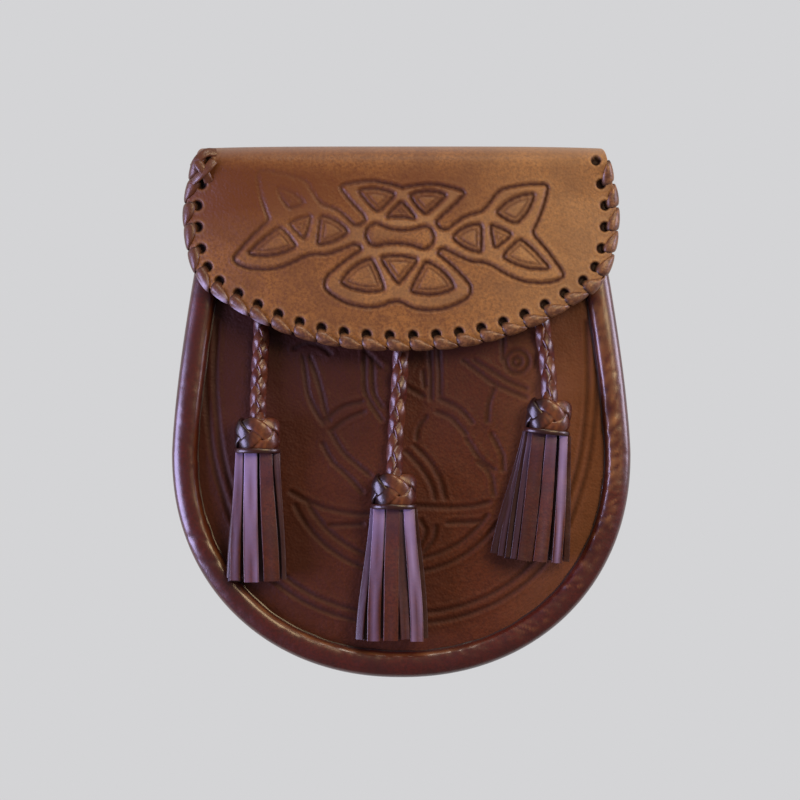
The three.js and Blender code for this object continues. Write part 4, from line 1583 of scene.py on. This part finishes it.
@dataclass
class Gusset:
    """The side wall, whose long edges are turned over into rolls with a thin raw lip."""

    pouch: PouchForm
    finish: Material
    stations: int = 520  # along the outline
    round_corners: int = 84  # round the section
    crease_count: int = 120
    deepest: float = 0.45  # mm, the deepest dent
    lip_from: float = 9.2  # mm across, where the roll gives way to the lip
    wall_from: float = -2.4  # mm above the lip, below which the wall is straight
    points: Points | None = field(default=None, init=False)
    out: Points | None = field(default=None, init=False)
    creases: list[Crease] = field(default_factory=list, init=False)
    crumple: Values | None = field(default=None, init=False)
    marks: Marks = field(default_factory=dict, init=False)

    # across from the outside, and height above the front lip, in mm
    FRONT_ROLL = (
        (3.0, -13.6), (2.6, -8.5), (1.7, -4.6), (0.7, -2.4), (0.1, -0.9), (0.0, 0.4), (0.3, 1.6),
        (1.0, 2.65), (2.1, 3.4), (3.6, 4.0), (5.2, 4.2), (6.9, 4.1), (8.2, 3.7), (9.1, 2.9),
        (9.5, 2.0), (9.65, 1.1), (9.85, 0.65), (10.25, 0.6), (10.55, 0.45), (10.55, 0.25), (10.3, 0.1),
    )
    # where the leather is gathered: across, above the bottom, and how many stations it reaches
    GATHERS = ((82, 58, 13), (51, 20, 9), (70, 34, 12), (88, 92, 22))
    NOTCH = (-86, 52)  # the deep crease of the left side

    def build(self) -> Piece:
        """Builds the gusset.

        Returns:
            The piece.
        """
        shell = new_shell()
        top = self.pouch.height - self.pouch.gusset_end
        self.points, self.out = self.pouch.outline(0, top, self.stations)
        self.choose_creases()
        stations = np.arange(self.stations, dtype=float)
        corners = lay_grid(shell, np.linspace(0, 1, self.round_corners), stations, self.outer)
        set_marks(shell, corners, self.marks)
        lay_grid(shell, np.linspace(0, 1, 33), np.linspace(0, self.stations - 1, 105), self.inner)
        close_sheet(shell)
        return finish_piece(shell, "gusset_skin", "gusset", self.finish)

    def choose_creases(self) -> None:
        """Chooses where the turned leather puckers and how it crumples."""
        rng = np.random.default_rng(5)
        count = self.crease_count
        station = self.stations / 2 + np.sign(rng.normal(0, 1, count)) * rng.uniform(10, 190, count)
        slant = rng.normal(0, 6, count)
        width = rng.uniform(0.5, 1.8, count)
        depth = rng.uniform(0.03, 0.16, count)
        middle = rng.uniform(2, 8, count)
        self.crumple = rng.normal(0, 1, (self.stations + 40, 9))
        self.creases = [Crease(*row) for row in zip(station, slant, width, depth, middle)]
        self.creases[0] = Crease(self.station_at(*self.NOTCH), slant=3.0, width=1.5, depth=0.42, middle=3.0)

    def station_at(self, x: float, y: float) -> int:
        """Finds the station nearest to a place."""
        return int(np.linalg.norm(self.points - [x, y], axis=1).argmin())

    def dents(self, station: Values, across: Values) -> Values:
        """Depth of the creases.

        Args:
            station: Places along the outline.
            across: Places over the roll, in mm from the outside.

        Returns:
            The depth at each place.
        """
        dent = np.zeros(len(station))
        for crease in self.creases:
            off = (station - crease.station - crease.slant * (across - crease.middle) / 10) * 0.95
            dent += crease.depth * ridge(off, crease.width) * ridge(across - crease.middle, 3.0)
        return np.minimum(dent, self.deepest) * (across < self.lip_from)

    def crumpled(self, station: Values, across: Values) -> Values:
        """Uneven small puckers, slanted over the roll, from -1 to 1.

        Args:
            station: Places along the outline.
            across: Places over the roll, in mm from the outside.

        Returns:
            The pucker at each place.
        """
        along = (station + 0.9 * across) / 1.7
        over = across / 1.9
        low, left = along.astype(int), over.astype(int)
        down, right = smooth(along - low, 0, 1), smooth(over - left, 0, 1)
        left = np.minimum(left, 7)
        first = mix(self.crumple[low, left], self.crumple[low, left + 1], right)
        second = mix(self.crumple[low + 1, left], self.crumple[low + 1, left + 1], right)
        return np.clip(mix(first, second, down), -1.4, 1.4) / 1.4

    def gathered(self, station: Values, across: Values) -> Values:
        """How strongly the leather is gathered, from 0 to 1.

        Args:
            station: Places along the outline.
            across: Places over the roll, in mm from the outside.

        Returns:
            The strength at each place.
        """
        patches = np.zeros(len(station))
        for x, y, reach in self.GATHERS:
            patches += ridge(station - self.station_at(x, y), reach)
        return np.minimum(patches, 1) * (0.6 + 0.4 * np.sin(station * 0.9 + across))

    def section(self, share: Values, y: Values, inset: float) -> tuple[Values, Values, Values]:
        """Works out the wall's section.

        Args:
            share: Round the section, from the back lip to the front lip.
            y: Height above the pouch's bottom.
            inset: How far inside the leather's outer face.

        Returns:
            Across from the outside, height, and how near each place is to a lip.
        """
        fine = smooth_path(np.array(self.FRONT_ROLL, float), 400)
        if inset:
            fine = fine + to_right_of(fine) * inset
        lengths = lengths_along(fine)
        way = np.abs(share - 0.5) * 2 * lengths[-1]
        across = np.interp(way, lengths, fine[:, 0])
        rise = np.interp(way, lengths, fine[:, 1])
        lip = self.pouch.crest(y) - self.pouch.roll_rise
        back_lip = self.pouch.back_face - self.pouch.seat_gap
        back_scale = back_lip / self.pouch.roll_rise
        middle = (lip + back_lip) / 2
        lowest = self.FRONT_ROLL[0][1]
        on_wall = rise < self.wall_from
        up_wall = (rise - lowest) / (self.wall_from - lowest)
        front_height = np.where(on_wall, mix(middle, lip + self.wall_from, up_wall), lip + rise)
        back_wall = mix(middle, back_lip - self.wall_from * back_scale, up_wall)
        back_height = np.where(on_wall, back_wall, back_lip - rise * back_scale)
        near_lip = smooth(way, lengths[-1] - 1.9, lengths[-1] - 1.2)
        return across, np.where(share >= 0.5, front_height, back_height), near_lip

    def outer(self, share: Values, station: Values) -> Points:
        """Places the outer face's corners and keeps their marks.

        Args:
            share: Places round the section, from 0 to 1.
            station: Places along the outline.

        Returns:
            The corners' places in the frame.
        """
        at = station.astype(int)
        point, out = self.points[at], self.out[at]
        across, height, near_lip = self.section(share, point[:, 1], 0)
        is_front = share > 0.5
        dent = self.dents(station, across)
        gather = self.crumpled(station, np.clip(across, 0, 11))
        gathered = self.gathered(station, across)
        inner_half = smooth(across, 2.0, 6.0) * (1 - smooth(across, 8.8, 9.5))
        patch = 0.35 + 0.65 * np.clip(np.sin(station * 0.11) + np.sin(station * 0.047 + 1), 0, 1)
        to_right = 0.4 + 0.6 * smooth(station, 230, 330)
        pucker = (0.12 * patch * to_right + 0.3 * gathered) * gather * inner_half
        long_wave = 0.12 * np.sin(station * 0.21 + 1.3) * np.sin(station * 0.083) * (across < 9)
        height = height + np.where(is_front, long_wave - dent + pucker, 0)
        wander = 0.18 * np.sin(station * 0.31) * np.sin(station * 0.127 + 2) * near_lip
        x, y = point.T
        # Painted highlight along the roll's inner corner at the lower left, and on the right roll's upper
        # inner half; the crinkle crests are lighter partly as wear of the finish and partly as painted
        # highlight.
        lip_glint_strength = 0.5 + 0.3 * np.sin(station * 0.4) * np.sin(station * 0.17)
        low_left = (1 - 0.6 * smooth(y, 30, 75)) * (1 - smooth(x, 10, 45))
        lip_light = ridge(across - 8.9, 0.5) * lip_glint_strength * low_left
        side_light = (0.2 + 0.2 * gather) * smooth(x, 40, 75) * smooth(y, 55, 85) * inner_half
        crest_light = np.clip(gather, 0, 1) * gathered * inner_half
        wear_and_highlight = (0.6 * lip_light + side_light + 0.45 * crest_light) * is_front
        # Painted shade in the dents and in the crease by the lip.
        self.marks = {
            Mark.WEAR_AND_HIGHLIGHT: np.clip(wear_and_highlight, 0, 1),
            Mark.TOOLING_AND_SHADE: np.clip(dent * 0.8, 0, 1),
            Mark.HOLLOW: 0.85 * near_lip,
        }
        flat = point - out * (across + wander)[:, None]
        return self.pouch.in_frame(np.column_stack([flat, height]))

    def inner(self, share: Values, station: Values) -> Points:
        """Places the inner face's corners.

        Args:
            share: Places round the section, from 0 to 1.
            station: Places along the outline.

        Returns:
            The corners' places in the frame.
        """
        at = np.rint(station).astype(int)
        point, out = self.points[at], self.out[at]
        across, height, _ = self.section(share, point[:, 1], self.pouch.gusset_leather)
        return self.pouch.in_frame(np.column_stack([point - out * across[:, None], height]))


@dataclass
class BackPanel:
    """The flat back of the pouch."""

    pouch: PouchForm
    finish: Material
    ripple: float = 0.12  # mm, how far its outer face waves
    rim: Points | None = field(default=None, init=False)

    def build(self) -> Piece:
        """Builds the back panel.

        Returns:
            The piece.
        """
        shell = new_shell()
        self.rim = self.pouch.panel_rim(self.pouch.back_mouth)
        low, high = self.rim[2, 1], self.rim[-1, 1]
        rows = low + (high - low) * np.linspace(0, 1, 91) ** 1.4
        outside = self.pouch.back_face
        for level, ripple in ((outside, self.ripple), (outside + self.pouch.back_leather, 0.0)):
            lay_grid(shell, np.linspace(-1, 1, 71), rows, partial(self.face, level=level, ripple=ripple))
        close_sheet(shell)
        return finish_piece(shell, "back_skin", "back_panel", self.finish)

    def face(self, share: Values, y: Values, level: float, ripple: float) -> Points:
        """Places one face's corners at its level.

        Args:
            share: Places across, from -1 to 1.
            y: Places above its bottom.
            level: The face's height.
            ripple: How far it waves.

        Returns:
            The corners' places.
        """
        x = share * np.interp(y, self.rim[:, 1], self.rim[:, 0])
        z = level + ripple * np.sin(x * 0.11) * np.sin(y * 0.09) * (1 - share**2)
        return self.pouch.in_frame(np.column_stack([x, y, z]))


@dataclass
class StrapLoop:
    """A loop on the back for the strap, stitched down at both feet."""

    pouch: PouchForm
    finish: Material
    side: str
    x: float
    width: float = 22
    length: float = 46
    foot: float = 8
    rise: float = 5
    drop: float = 62
    leather: float = 1.6
    stitch_count: int = 5
    stitch_pitch: float = 3.6
    stitch_half: float = 1.3

    def build(self) -> Piece:
        """Builds the loop with its stitches.

        Returns:
            The piece.
        """
        shell = new_shell()
        reach = self.length / 2
        flat = reach - self.foot - self.rise
        high = self.pouch.back_face - self.pouch.seat_gap - self.leather / 2
        low = self.leather / 2
        # along the loop from its end to its middle, and height
        bend = (
            (-reach, high),
            (-reach + self.foot - 1, high),
            (-reach + self.foot + 0.6, high - 0.9),
            (-flat - 0.6, low + 0.9),
            (-flat + 1, low),
            (0, low),
        )
        half = smooth_path(np.array(bend), 26)
        whole = np.concatenate([half, (half * [-1, 1])[::-1][1:]])
        middle = self.pouch.height - self.drop
        path = np.column_stack([np.full(len(whole), self.x), middle + whole[:, 0], whole[:, 1]])
        self.lay(shell, path, self.width, self.leather, sides=40, fullness=9)
        for end in (-1, 1):
            self.stitch_row(shell, middle + end * (reach - self.foot / 2), high - self.leather / 2)
        name, node = f"loop_{self.side}", f"strap_loop_{self.side}"
        return finish_piece(shell, name, node, self.finish, 40)

    def lay(self, shell: Shell, path: Points, width: float, thickness: float, **shape: float) -> Corners:
        """Lays a band that faces the back, and gives its corners."""
        out = np.tile([0.0, 0.0, -1.0], (len(path), 1))
        return lay_tube(shell, self.pouch.in_frame(path), out, width, thickness, **shape)

    def stitch_row(self, shell: Shell, y: float, level: float) -> None:
        """Sews a row of saddle stitches across a foot.

        Args:
            shell: The mesh that it is added to.
            y: The row's height.
            level: The foot's face.
        """
        for i in range(self.stitch_count):
            x = self.x + (i - (self.stitch_count - 1) / 2) * self.stitch_pitch
            run = np.linspace(-self.stitch_half, self.stitch_half, 9)
            sink = 0.35 * (run / self.stitch_half) ** 4
            points = np.column_stack([x + run, np.full(len(run), y), level - 0.12 + sink])
            made = self.lay(shell, points, 0.7, 0.5, sides=8)
            set_marks(shell, made, {Mark.WEAR_AND_HIGHLIGHT: 0.9})


@dataclass(frozen=True)
class Strip:
    """One strip of a fringe, in mm about the tassel's own middle."""

    top: float  # across, where it leaves the knot
    foot: float  # across, at its cut end
    top_width: float
    foot_width: float
    rise: float  # out of the tassel's middle
    turn: float = 0.0  # degrees
    short: float = 0.0  # how much shorter than the longest
    # painted sheen, from 0 to 1
    painted_sheen: float = 0.0
    # painted shade, from 0 to 1
    deep: float = 0.0


@dataclass
class Tassel:
    """A plaited cord with a woven knot and a fringe of strips."""

    pouch: PouchForm
    finish: Material
    woven_finish: Material
    side: str
    route: tuple[tuple[float, float, float], ...]  # across, down from the fold's top, up from the crest
    lean: float  # degrees from straight down
    fringe: float  # length of the longest strip
    plait_pitch: float  # mm for one strand to come back to its side
    strips: tuple[Strip, ...]
    cord_diameter: float = 6
    strand_width: float = 3.8
    strand_thickness: float = 1.9
    strand_sideways: float = 1.65  # how far a strand swings to each side
    strand_over: float = 0.95  # how far it rises over and dips under
    knot_length: float = 13.5
    knot_half_width: float = 8.8
    knot_half_depth: float = 6.3
    knot_leads: int = 3
    knot_bights: int = 5
    band_width: float = 5.3
    band_thickness: float = 1.7
    collar_width: float = 2.0
    collar_thickness: float = 1.2
    reach: float = 1.5  # how far the knot runs up over the plait's end
    strip_thickness: float = 1.3
    fringe_sag: float = 1.8

    @property
    def flatness(self) -> float:
        """The knot's depth as a share of its width."""
        return self.knot_half_depth / self.knot_half_width

    def build(self) -> None:
        fringe = self.build_fringe()
        knot = self.build_knot()
        self.build_plait()

    def spine(self) -> Points:
        """The plait's middle line in the frame, in millimetres.

        Returns:
            The line's points.
        """
        places = [(x, self.pouch.height - drop, self.pouch.depth + rise) for x, drop, rise in self.route]
        fine = smooth_path(np.array(places), 200)
        return self.pouch.in_frame(even_path(fine, 140))

    def hung(self, points: Points) -> Points:
        """Places points modelled hanging down from the plait's end.

        Args:
            points: The points as modelled.

        Returns:
            The points in the frame.
        """
        turn = math.radians(self.lean)
        cos, sin = math.cos(turn), math.sin(turn)
        x = points[:, 0] * cos - points[:, 1] * sin
        y = points[:, 0] * sin + points[:, 1] * cos
        return np.column_stack([x, y, points[:, 2]]) + self.spine()[-1]

    def build_plait(self) -> Piece:
        """Plaits three square-cut strands along the spine.


        Returns:
            The plait.
        """
        shell = new_shell()
        spine = self.spine()
        way = lengths_along(spine)
        ahead = unit(np.gradient(spine, axis=0))
        across = unit(np.cross(ahead, np.array([0.0, 0.0, 1.0])))
        out = np.cross(across, ahead)
        for strand in range(3):
            turn = 2 * math.pi * (way / self.plait_pitch + strand / 3)
            sideways = self.strand_sideways * np.sin(turn)
            over = self.strand_over * np.sin(2 * turn)
            path = spine + across * sideways[:, None] + out * over[:, None]
            tilt = 0.75 * np.sin(turn)
            facing = out * np.cos(tilt)[:, None] + across * np.sin(tilt)[:, None]
            width, thickness = self.strand_width, self.strand_thickness
            made = lay_tube(shell, path, facing, width, thickness, sides=16, fullness=3.0)
            set_marks(shell, made, {Mark.WEAR_AND_HIGHLIGHT: 0.05 * strand})
        name, node = f"plait_{self.side}", f"tassel_cord_{self.side}"
        piece = finish_piece(shell, name, node, self.woven_finish)
        return piece

    def build_knot(self) -> Piece:
        """Weaves the knot round the fringe's head.

        Returns:
            The piece.
        """
        shell = new_shell()
        self.weave_band(shell)
        self.lay_collar(shell)
        self.fill_head(shell)
        self.hang(shell)
        name, node = f"knot_{self.side}", f"tassel_knot_{self.side}"
        return finish_piece(shell, name, node, self.woven_finish)

    def weave_band(self, shell: Shell) -> None:
        """Weaves one flat thong over and under itself until it is back at its start.

        Args:
            shell: The mesh that it is added to.
        """
        turn = np.linspace(0, 2 * math.pi * self.knot_leads, 241)[:-1]
        climb = self.knot_bights * turn / self.knot_leads + 0.6
        swing = (self.knot_length - self.band_width * 0.82) / 2 * 0.94
        height = self.reach - self.knot_length / 2 + 0.5 + swing * np.cos(climb)
        over = 0.6 * np.sin(2 * climb) - 0.5 * np.cos(climb) ** 4
        girth = self.knot_half_width - self.band_thickness / 2 - 0.55 + over
        path = np.column_stack([girth * np.sin(turn), height, girth * self.flatness * np.cos(turn)])
        tip = 0.35 * np.cos(climb) ** 3
        out = unit(np.column_stack([np.sin(turn), tip, np.cos(turn) / self.flatness]))
        width, thickness = self.band_width, self.band_thickness
        made = lay_tube(shell, path, out, width, thickness, sides=14, fullness=2.6, ring=True)
        x, y, z = places_of(made).T
        # Painted highlight on the knot's front right of the middle, and painted shade on its left side,
        # over the hide's mottle.
        lit = ridge(x - 2.0, 3.6) * smooth(z, 1, 4)
        mottle = 0.6 + 0.4 * np.sin(2.3 * x + 1.1 * y) * np.sin(1.7 * y)
        dye_and_shade = 0.9 * (1 - smooth(x, -4.5, -0.5)) + 0.4 * (1 - mottle)
        set_marks(shell, made, {Mark.WEAR_AND_HIGHLIGHT: 0.42 * lit * mottle, Mark.DYE_AND_SHADE: dye_and_shade})

    def lay_collar(self, shell: Shell) -> None:
        """Lays the thin band that binds the fringe under the knot.

        Args:
            shell: The mesh that it is added to.
        """
        turn = np.linspace(0, 2 * math.pi, 61)[:-1]
        girth = self.knot_half_width - 0.45
        foot = np.full(len(turn), self.reach - self.knot_length + 1.3)
        path = np.column_stack([girth * np.sin(turn), foot, girth * self.flatness * np.cos(turn)])
        out = unit(np.column_stack([np.sin(turn), 0 * foot, np.cos(turn) / self.flatness]))
        width, thickness = self.collar_width, self.collar_thickness
        made = lay_tube(shell, path, out, width, thickness, sides=12, fullness=2.6, ring=True)
        set_marks(shell, made, {Mark.DYE_AND_SHADE: 0.7})

    def fill_head(self, shell: Shell) -> None:
        """Fills the knot with the gathered head of the fringe.

        Args:
            shell: The mesh that it is added to.
        """
        levels = np.linspace(self.reach - 0.6, self.reach - self.knot_length + 0.6, 9)
        path = np.column_stack([0 * levels, levels, 0 * levels])
        taper = 1 - 0.1 * np.abs(np.linspace(-1, 1, len(levels))) ** 3
        width = (self.knot_half_width - 2.4) * taper * 2
        out = np.tile([0.0, 0.0, 1.0], (len(levels), 1))
        made = lay_tube(shell, path, out, width, width * self.flatness, sides=24)
        # The fringe's head inside the knot is painted dark as shade.
        set_marks(shell, made, {Mark.TOOLING_AND_SHADE: 0.8})

    def build_fringe(self) -> Piece:
        """Cuts the strips and gathers them under the knot.

        Returns:
            The piece.
        """
        shell = new_shell()
        for number, strip in enumerate(self.strips):
            self.cut_strip(shell, number, strip)
        self.hang(shell)
        name, node = f"fringe_{self.side}", f"tassel_fringe_{self.side}"
        return finish_piece(shell, name, node, self.finish, 35)

    def cut_strip(self, shell: Shell, number: int, strip: Strip) -> None:
        """Hangs one strip, a little bent and twisted, with streaks of painted sheen.

        Args:
            shell: The fringe's mesh.
            number: The strip's number, which varies its bends.
            strip: Its sizes.
        """
        down = np.concatenate([np.linspace(-0.01, 0.1, 5), np.linspace(0.14, 1, 26)])
        foot = self.reach - self.knot_length
        widest = self.knot_half_width - 0.4
        top = math.copysign(min(abs(strip.top), widest - strip.top_width / 2), strip.top)
        x = mix(top, strip.foot, smooth(down, -0.35, 1.15)) + 0.25 * np.sin(down * 4 + number)
        y = foot - down * (self.fringe - strip.short)
        tuck = 1 - 0.25 * (1 - smooth(down, -0.03, 0.12))
        z = strip.rise * tuck * self.flatness * 1.4 - self.fringe_sag * smooth(down, 0, 0.3)
        z = z + 0.3 * np.sin(down * 5 + number * 1.7)
        twist = math.radians(strip.turn) * (0.5 + 0.5 * down)
        out = np.column_stack([np.sin(twist), 0 * down, np.cos(twist)])
        width = mix(strip.top_width, strip.foot_width, smooth(down, -0.1, 0.8))
        path = np.column_stack([x, y, z])
        made = lay_tube(shell, path, out, width, self.strip_thickness, sides=20, fullness=7)
        made_x, made_y, _ = places_of(made).T
        along = (foot - made_y) / self.fringe
        across = (made_x - np.interp(along, down, x)) / width.mean()
        streak = 0.3 * np.sin(8 * across + 2 * number + 1.6 * np.sin(3 * along + number))
        streak = streak + 0.16 * np.sin(9 * along + number) * np.sin(6 * across + 3 * along)
        edge = smooth(np.abs(across), 0.3, 0.47)
        # Painted sheen, strongest near the top and weaker at the edges, in streaks.
        painted_sheen = strip.painted_sheen * (0.84 - 0.4 * smooth(along, 0.2, 1.0) + streak - 0.5 * edge)
        painted_sheen = painted_sheen + 0.3 * min(1, 3 * strip.painted_sheen) * (1 - smooth(along, 0.05, 0.35))
        # The strip's painted shade, and darker towards the foot, in streaks.
        deep = strip.deep + 0.25 * (0.3 + streak) * along
        set_marks(shell, made, {Mark.PAINTED_SHEEN: np.clip(painted_sheen, 0, 1), Mark.DYE_AND_SHADE: np.clip(deep, 0, 1)})

    def hang(self, shell: Shell) -> None:
        """Moves a shell modelled at the origin to the plait's end.

        Args:
            shell: The mesh that is moved.
        """
        points = self.hung(places_of(shell.verts)) * MM
        for corner, point in zip(shell.verts, points):
            corner.co = point


@dataclass
class Studio:
    """A pale floor, soft lights and the camera straight above."""

    floor_colour: str = "#d4d4d6"
    floor_half: float = 3.0  # m
    floor_gap: float = 0.0002  # m below the pouch
    distance: float = 1200  # mm from the camera to the rolls' crest
    shown: float = 310  # mm across the picture at that height
    level: float = 38  # mm, the crest's height
    aim: tuple[float, float] = (-0.5, 4.6)  # mm, where the camera looks on the pouch
    surround_colour: str = "#efe6e4"
    surround: float = 0.17

    # name, place in m, size in m, power in W and colour
    LIGHTS = (
        ("key", (0.6, 0.5, 0.95), 0.6, 7.7, "#ffe0ae"),
        ("side", (-1.0, -0.16, 0.4), 0.7, 16.0, "#cdc6ff"),
        ("window", (1.05, 0.2, 0.3), 0.5, 6.0, "#f1e6ff"),
        ("top", (0.05, 1.0, 0.6), 0.4, 3.8, "#fff0dc"),
    )

    def build(self) -> None:
        """Builds the floor, the camera and the lights."""
        self.floor()
        self.camera()
        self.lights()

    def floor(self) -> None:
        """Lays a light table, whose even glow leaves no cast shadow round the pouch."""
        shell = bmesh.new()
        bmesh.ops.create_grid(shell, x_segments=2, y_segments=2, size=self.floor_half)
        bmesh.ops.translate(shell, verts=shell.verts, vec=(0, 0, -self.floor_gap))
        mesh = bpy.data.meshes.new("floor")
        shell.to_mesh(mesh)
        shell.free()
        material, tree = start_material("light_table")
        inputs = {"Color": linear(self.floor_colour), "Strength": 1.0}
        glow = add_node(tree, "ShaderNodeEmission", None, inputs)
        add_node(tree, "ShaderNodeOutputMaterial", None, {"Surface": glow.outputs["Emission"]})
        mesh.materials.append(material)
        add_object("floor", mesh)

    def camera(self) -> None:
        """Hangs the camera straight above the pouch."""
        data = bpy.data.cameras.new("camera")
        data.lens = data.sensor_width * self.distance / self.shown
        data.clip_end = 20
        camera = add_object("camera", data)
        camera.location = (self.aim[0] * MM, self.aim[1] * MM, (self.level + self.distance) * MM)
        bpy.context.scene.camera = camera

    def lights(self) -> None:
        """Sets the soft lights and the even surround."""
        for name, place, size, power, colour in self.LIGHTS:
            data = bpy.data.lights.new(name, "AREA")
            data.shape = "DISK"
            data.size = size
            data.energy = power
            data.color = linear(colour)[:3]
            light = add_object(name, data)
            light.location = place
            light.rotation_euler = self.facing(place)
        world = bpy.data.worlds.new("surround")
        world.use_nodes = True
        inputs = world.node_tree.nodes["Background"].inputs
        inputs["Color"].default_value = linear(self.surround_colour)
        inputs["Strength"].default_value = self.surround
        bpy.context.scene.world = world
        bpy.context.scene.view_settings.view_transform = "Standard"

    def facing(self, place: tuple[float, float, float]) -> tuple[float, float, float]:
        """Turn that makes a light at a place face the pouch."""
        flat = math.hypot(place[0], place[1])
        return (math.atan2(flat, place[2]), 0.0, math.atan2(place[0], -place[1]))


def tassels(pouch: PouchForm, finish: Material, woven: Material) -> list[Tassel]:
    """Lists the three tassels as they hang.

    Args:
        pouch: The pouch that they lie on.
        finish: The fringes' finish.
        woven: The plaits' and the knots' finish.

    Returns:
        The left, the centre and the right one.
    """
    under = (  # the strips that the front ones hide, painted dark as shade
        Strip(-6.4, -8.6, 4.4, 5.0, -0.6, deep=1.0),
        Strip(-2.2, -3.0, 4.4, 5.2, -1.2, short=1.2, deep=1.0),
        Strip(2.2, 3.2, 4.4, 5.2, -1.2, short=0.6, deep=1.0),
        Strip(6.4, 8.8, 4.4, 5.0, -0.6, short=1.5, deep=1.0),
        Strip(-4.2, -6.0, 4.4, 5.0, -3.2, short=0.8, deep=1.0),
        Strip(0.0, 0.0, 4.4, 5.0, -3.6, deep=1.0),
        Strip(4.2, 6.2, 4.4, 5.0, -3.2, short=1.0, deep=1.0),
    )
    left_strips = (
        Strip(-8.3, -10.6, 1.6, 1.8, 0.6, 50, 1.5, 0.0, 0.8),
        Strip(-7.0, -8.3, 3.0, 4.2, 2.4, -14, 0.6, 0.35, 0.4),
        Strip(-2.6, -2.0, 5.0, 5.8, 3.3, -6, 0.0, 0.9),
        Strip(3.1, 5.6, 4.9, 6.2, 3.1, 8, 0.4, 0.05, 0.1),
        Strip(7.4, 10.3, 2.6, 1.8, 1.2, 10, 1.0, 0.1, 0.6),
    )
    centre_strips = (
        Strip(-8.4, -12.6, 2.2, 3.2, 0.6, -24, 0.4, 0.2, 0.75),
        Strip(-5.6, -7.1, 4.6, 5.2, 3.0, -10, 0.0, 0.5, 0.2),
        Strip(1.6, 4.9, 4.4, 3.8, 2.0, 6, 0.8, 0.2, 0.3),
        Strip(0.1, -1.0, 5.5, 5.7, 3.6, 3, 0.3, 0.05),
        Strip(5.6, 9.4, 4.2, 5.0, 2.9, 4, 0.0, 1.0),
        Strip(8.2, 12.8, 1.8, 2.2, 0.8, 8, 1.2, 0.0, 0.7),
    )
    right_strips = (
        Strip(-8.9, -15.4, 2.3, 2.6, 0.0, -4, 1.5, 0.04, 0.85),
        Strip(-8.0, -12.7, 2.3, 2.5, 0.6, -10, 0.8, 0.1, 0.8),
        Strip(-7.0, -10.3, 2.3, 2.2, 1.5, 4, 0.5, 0.0, 0.9),
        Strip(-5.6, -8.0, 2.4, 2.4, 2.4, -10, 0.3, 0.12, 0.75),
        Strip(-2.9, -3.6, 5.2, 5.8, 3.4, 6, 0.0, 0.04, 0.35),
        Strip(1.7, 2.6, 4.2, 5.4, 3.1, 6, 0.2, 0.14),
        Strip(5.9, 9.3, 3.2, 4.0, 2.8, 2, 0.4, 0.95),
        Strip(7.9, 13.0, 1.8, 2.4, 0.6, 8, 1.2, 0.0, 0.6),
    )
    left = ((-54, 65.5, -1.1), (-54.3, 76, -0.5), (-54.9, 86, -0.1), (-55.3, 97, 1.1), (-55.4, 107.2, 3.8))
    centre = ((0, 76, 0.5), (-0.6, 89, 1.3), (-1.5, 102, 1.7), (-2.4, 117, 2.6), (-2.8, 128.7, 5.2))
    right = ((54, 59, -1.4), (54.5, 69, -0.9), (55.9, 79, -0.5), (57, 90, 0.7), (57.3, 100, 3.6))
    return [
        Tassel(pouch, finish, woven, "left", left, -0.3, 49.4, 21, under + left_strips),
        Tassel(pouch, finish, woven, "centre", centre, -0.5, 50.6, 27, under + centre_strips),
        Tassel(pouch, finish, woven, "right", right, -6, 49, 28, under + right_strips),
    ]


def dress_hardware(button_finish: Material, stud_finish: Material) -> None:
    """Gives the hidden stud and the plaits' buttons their finishes.

    Args:
        button_finish: The buttons'.
        stud_finish: The stud's.
    """
    finishes = {"press_stud": stud_finish}
    for side in ("left", "centre", "right"):
        finishes[f"tassel_anchor_{side}"] = button_finish
    for name, material in finishes.items():
        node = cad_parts[name]
        node.data.materials.clear()
        node.data.materials.append(material)
        log.info("%s: kept from the frame", name)


def main() -> None:
    """Builds the sporran's pieces in order and sets the studio round them."""
    logging.basicConfig(level=logging.INFO, format="%(name)s %(message)s")
    flap_hide = FLAP_HIDE.material()
    thong = THONG.material()
    panel_hide = PANEL_HIDE.material()
    oxblood = OXBLOOD_CALF.material()
    tassel_calf = TASSEL_CALF.material()
    plait_calf = PLAIT_CALF.material()
    pouch = PouchForm()
    flap = FlapForm(pouch)
    BackPanel(pouch, panel_hide).build()
    FrontPanel(pouch, PanelDesign(), panel_hide).build()
    Gusset(pouch, oxblood).build()
    FlapSkin(flap, FlapDesign(), flap_hide).build()
    Lacing(flap, thong).build()
    for side, x in (("left", -34.0), ("right", 34.0)):
        StrapLoop(pouch, oxblood, side, x).build()
    for tassel in tassels(pouch, tassel_calf, plait_calf):
        tassel.build()
    dress_hardware(tassel_calf, Brass().material())
    Studio().build()


if __name__ == "__main__":
    main()
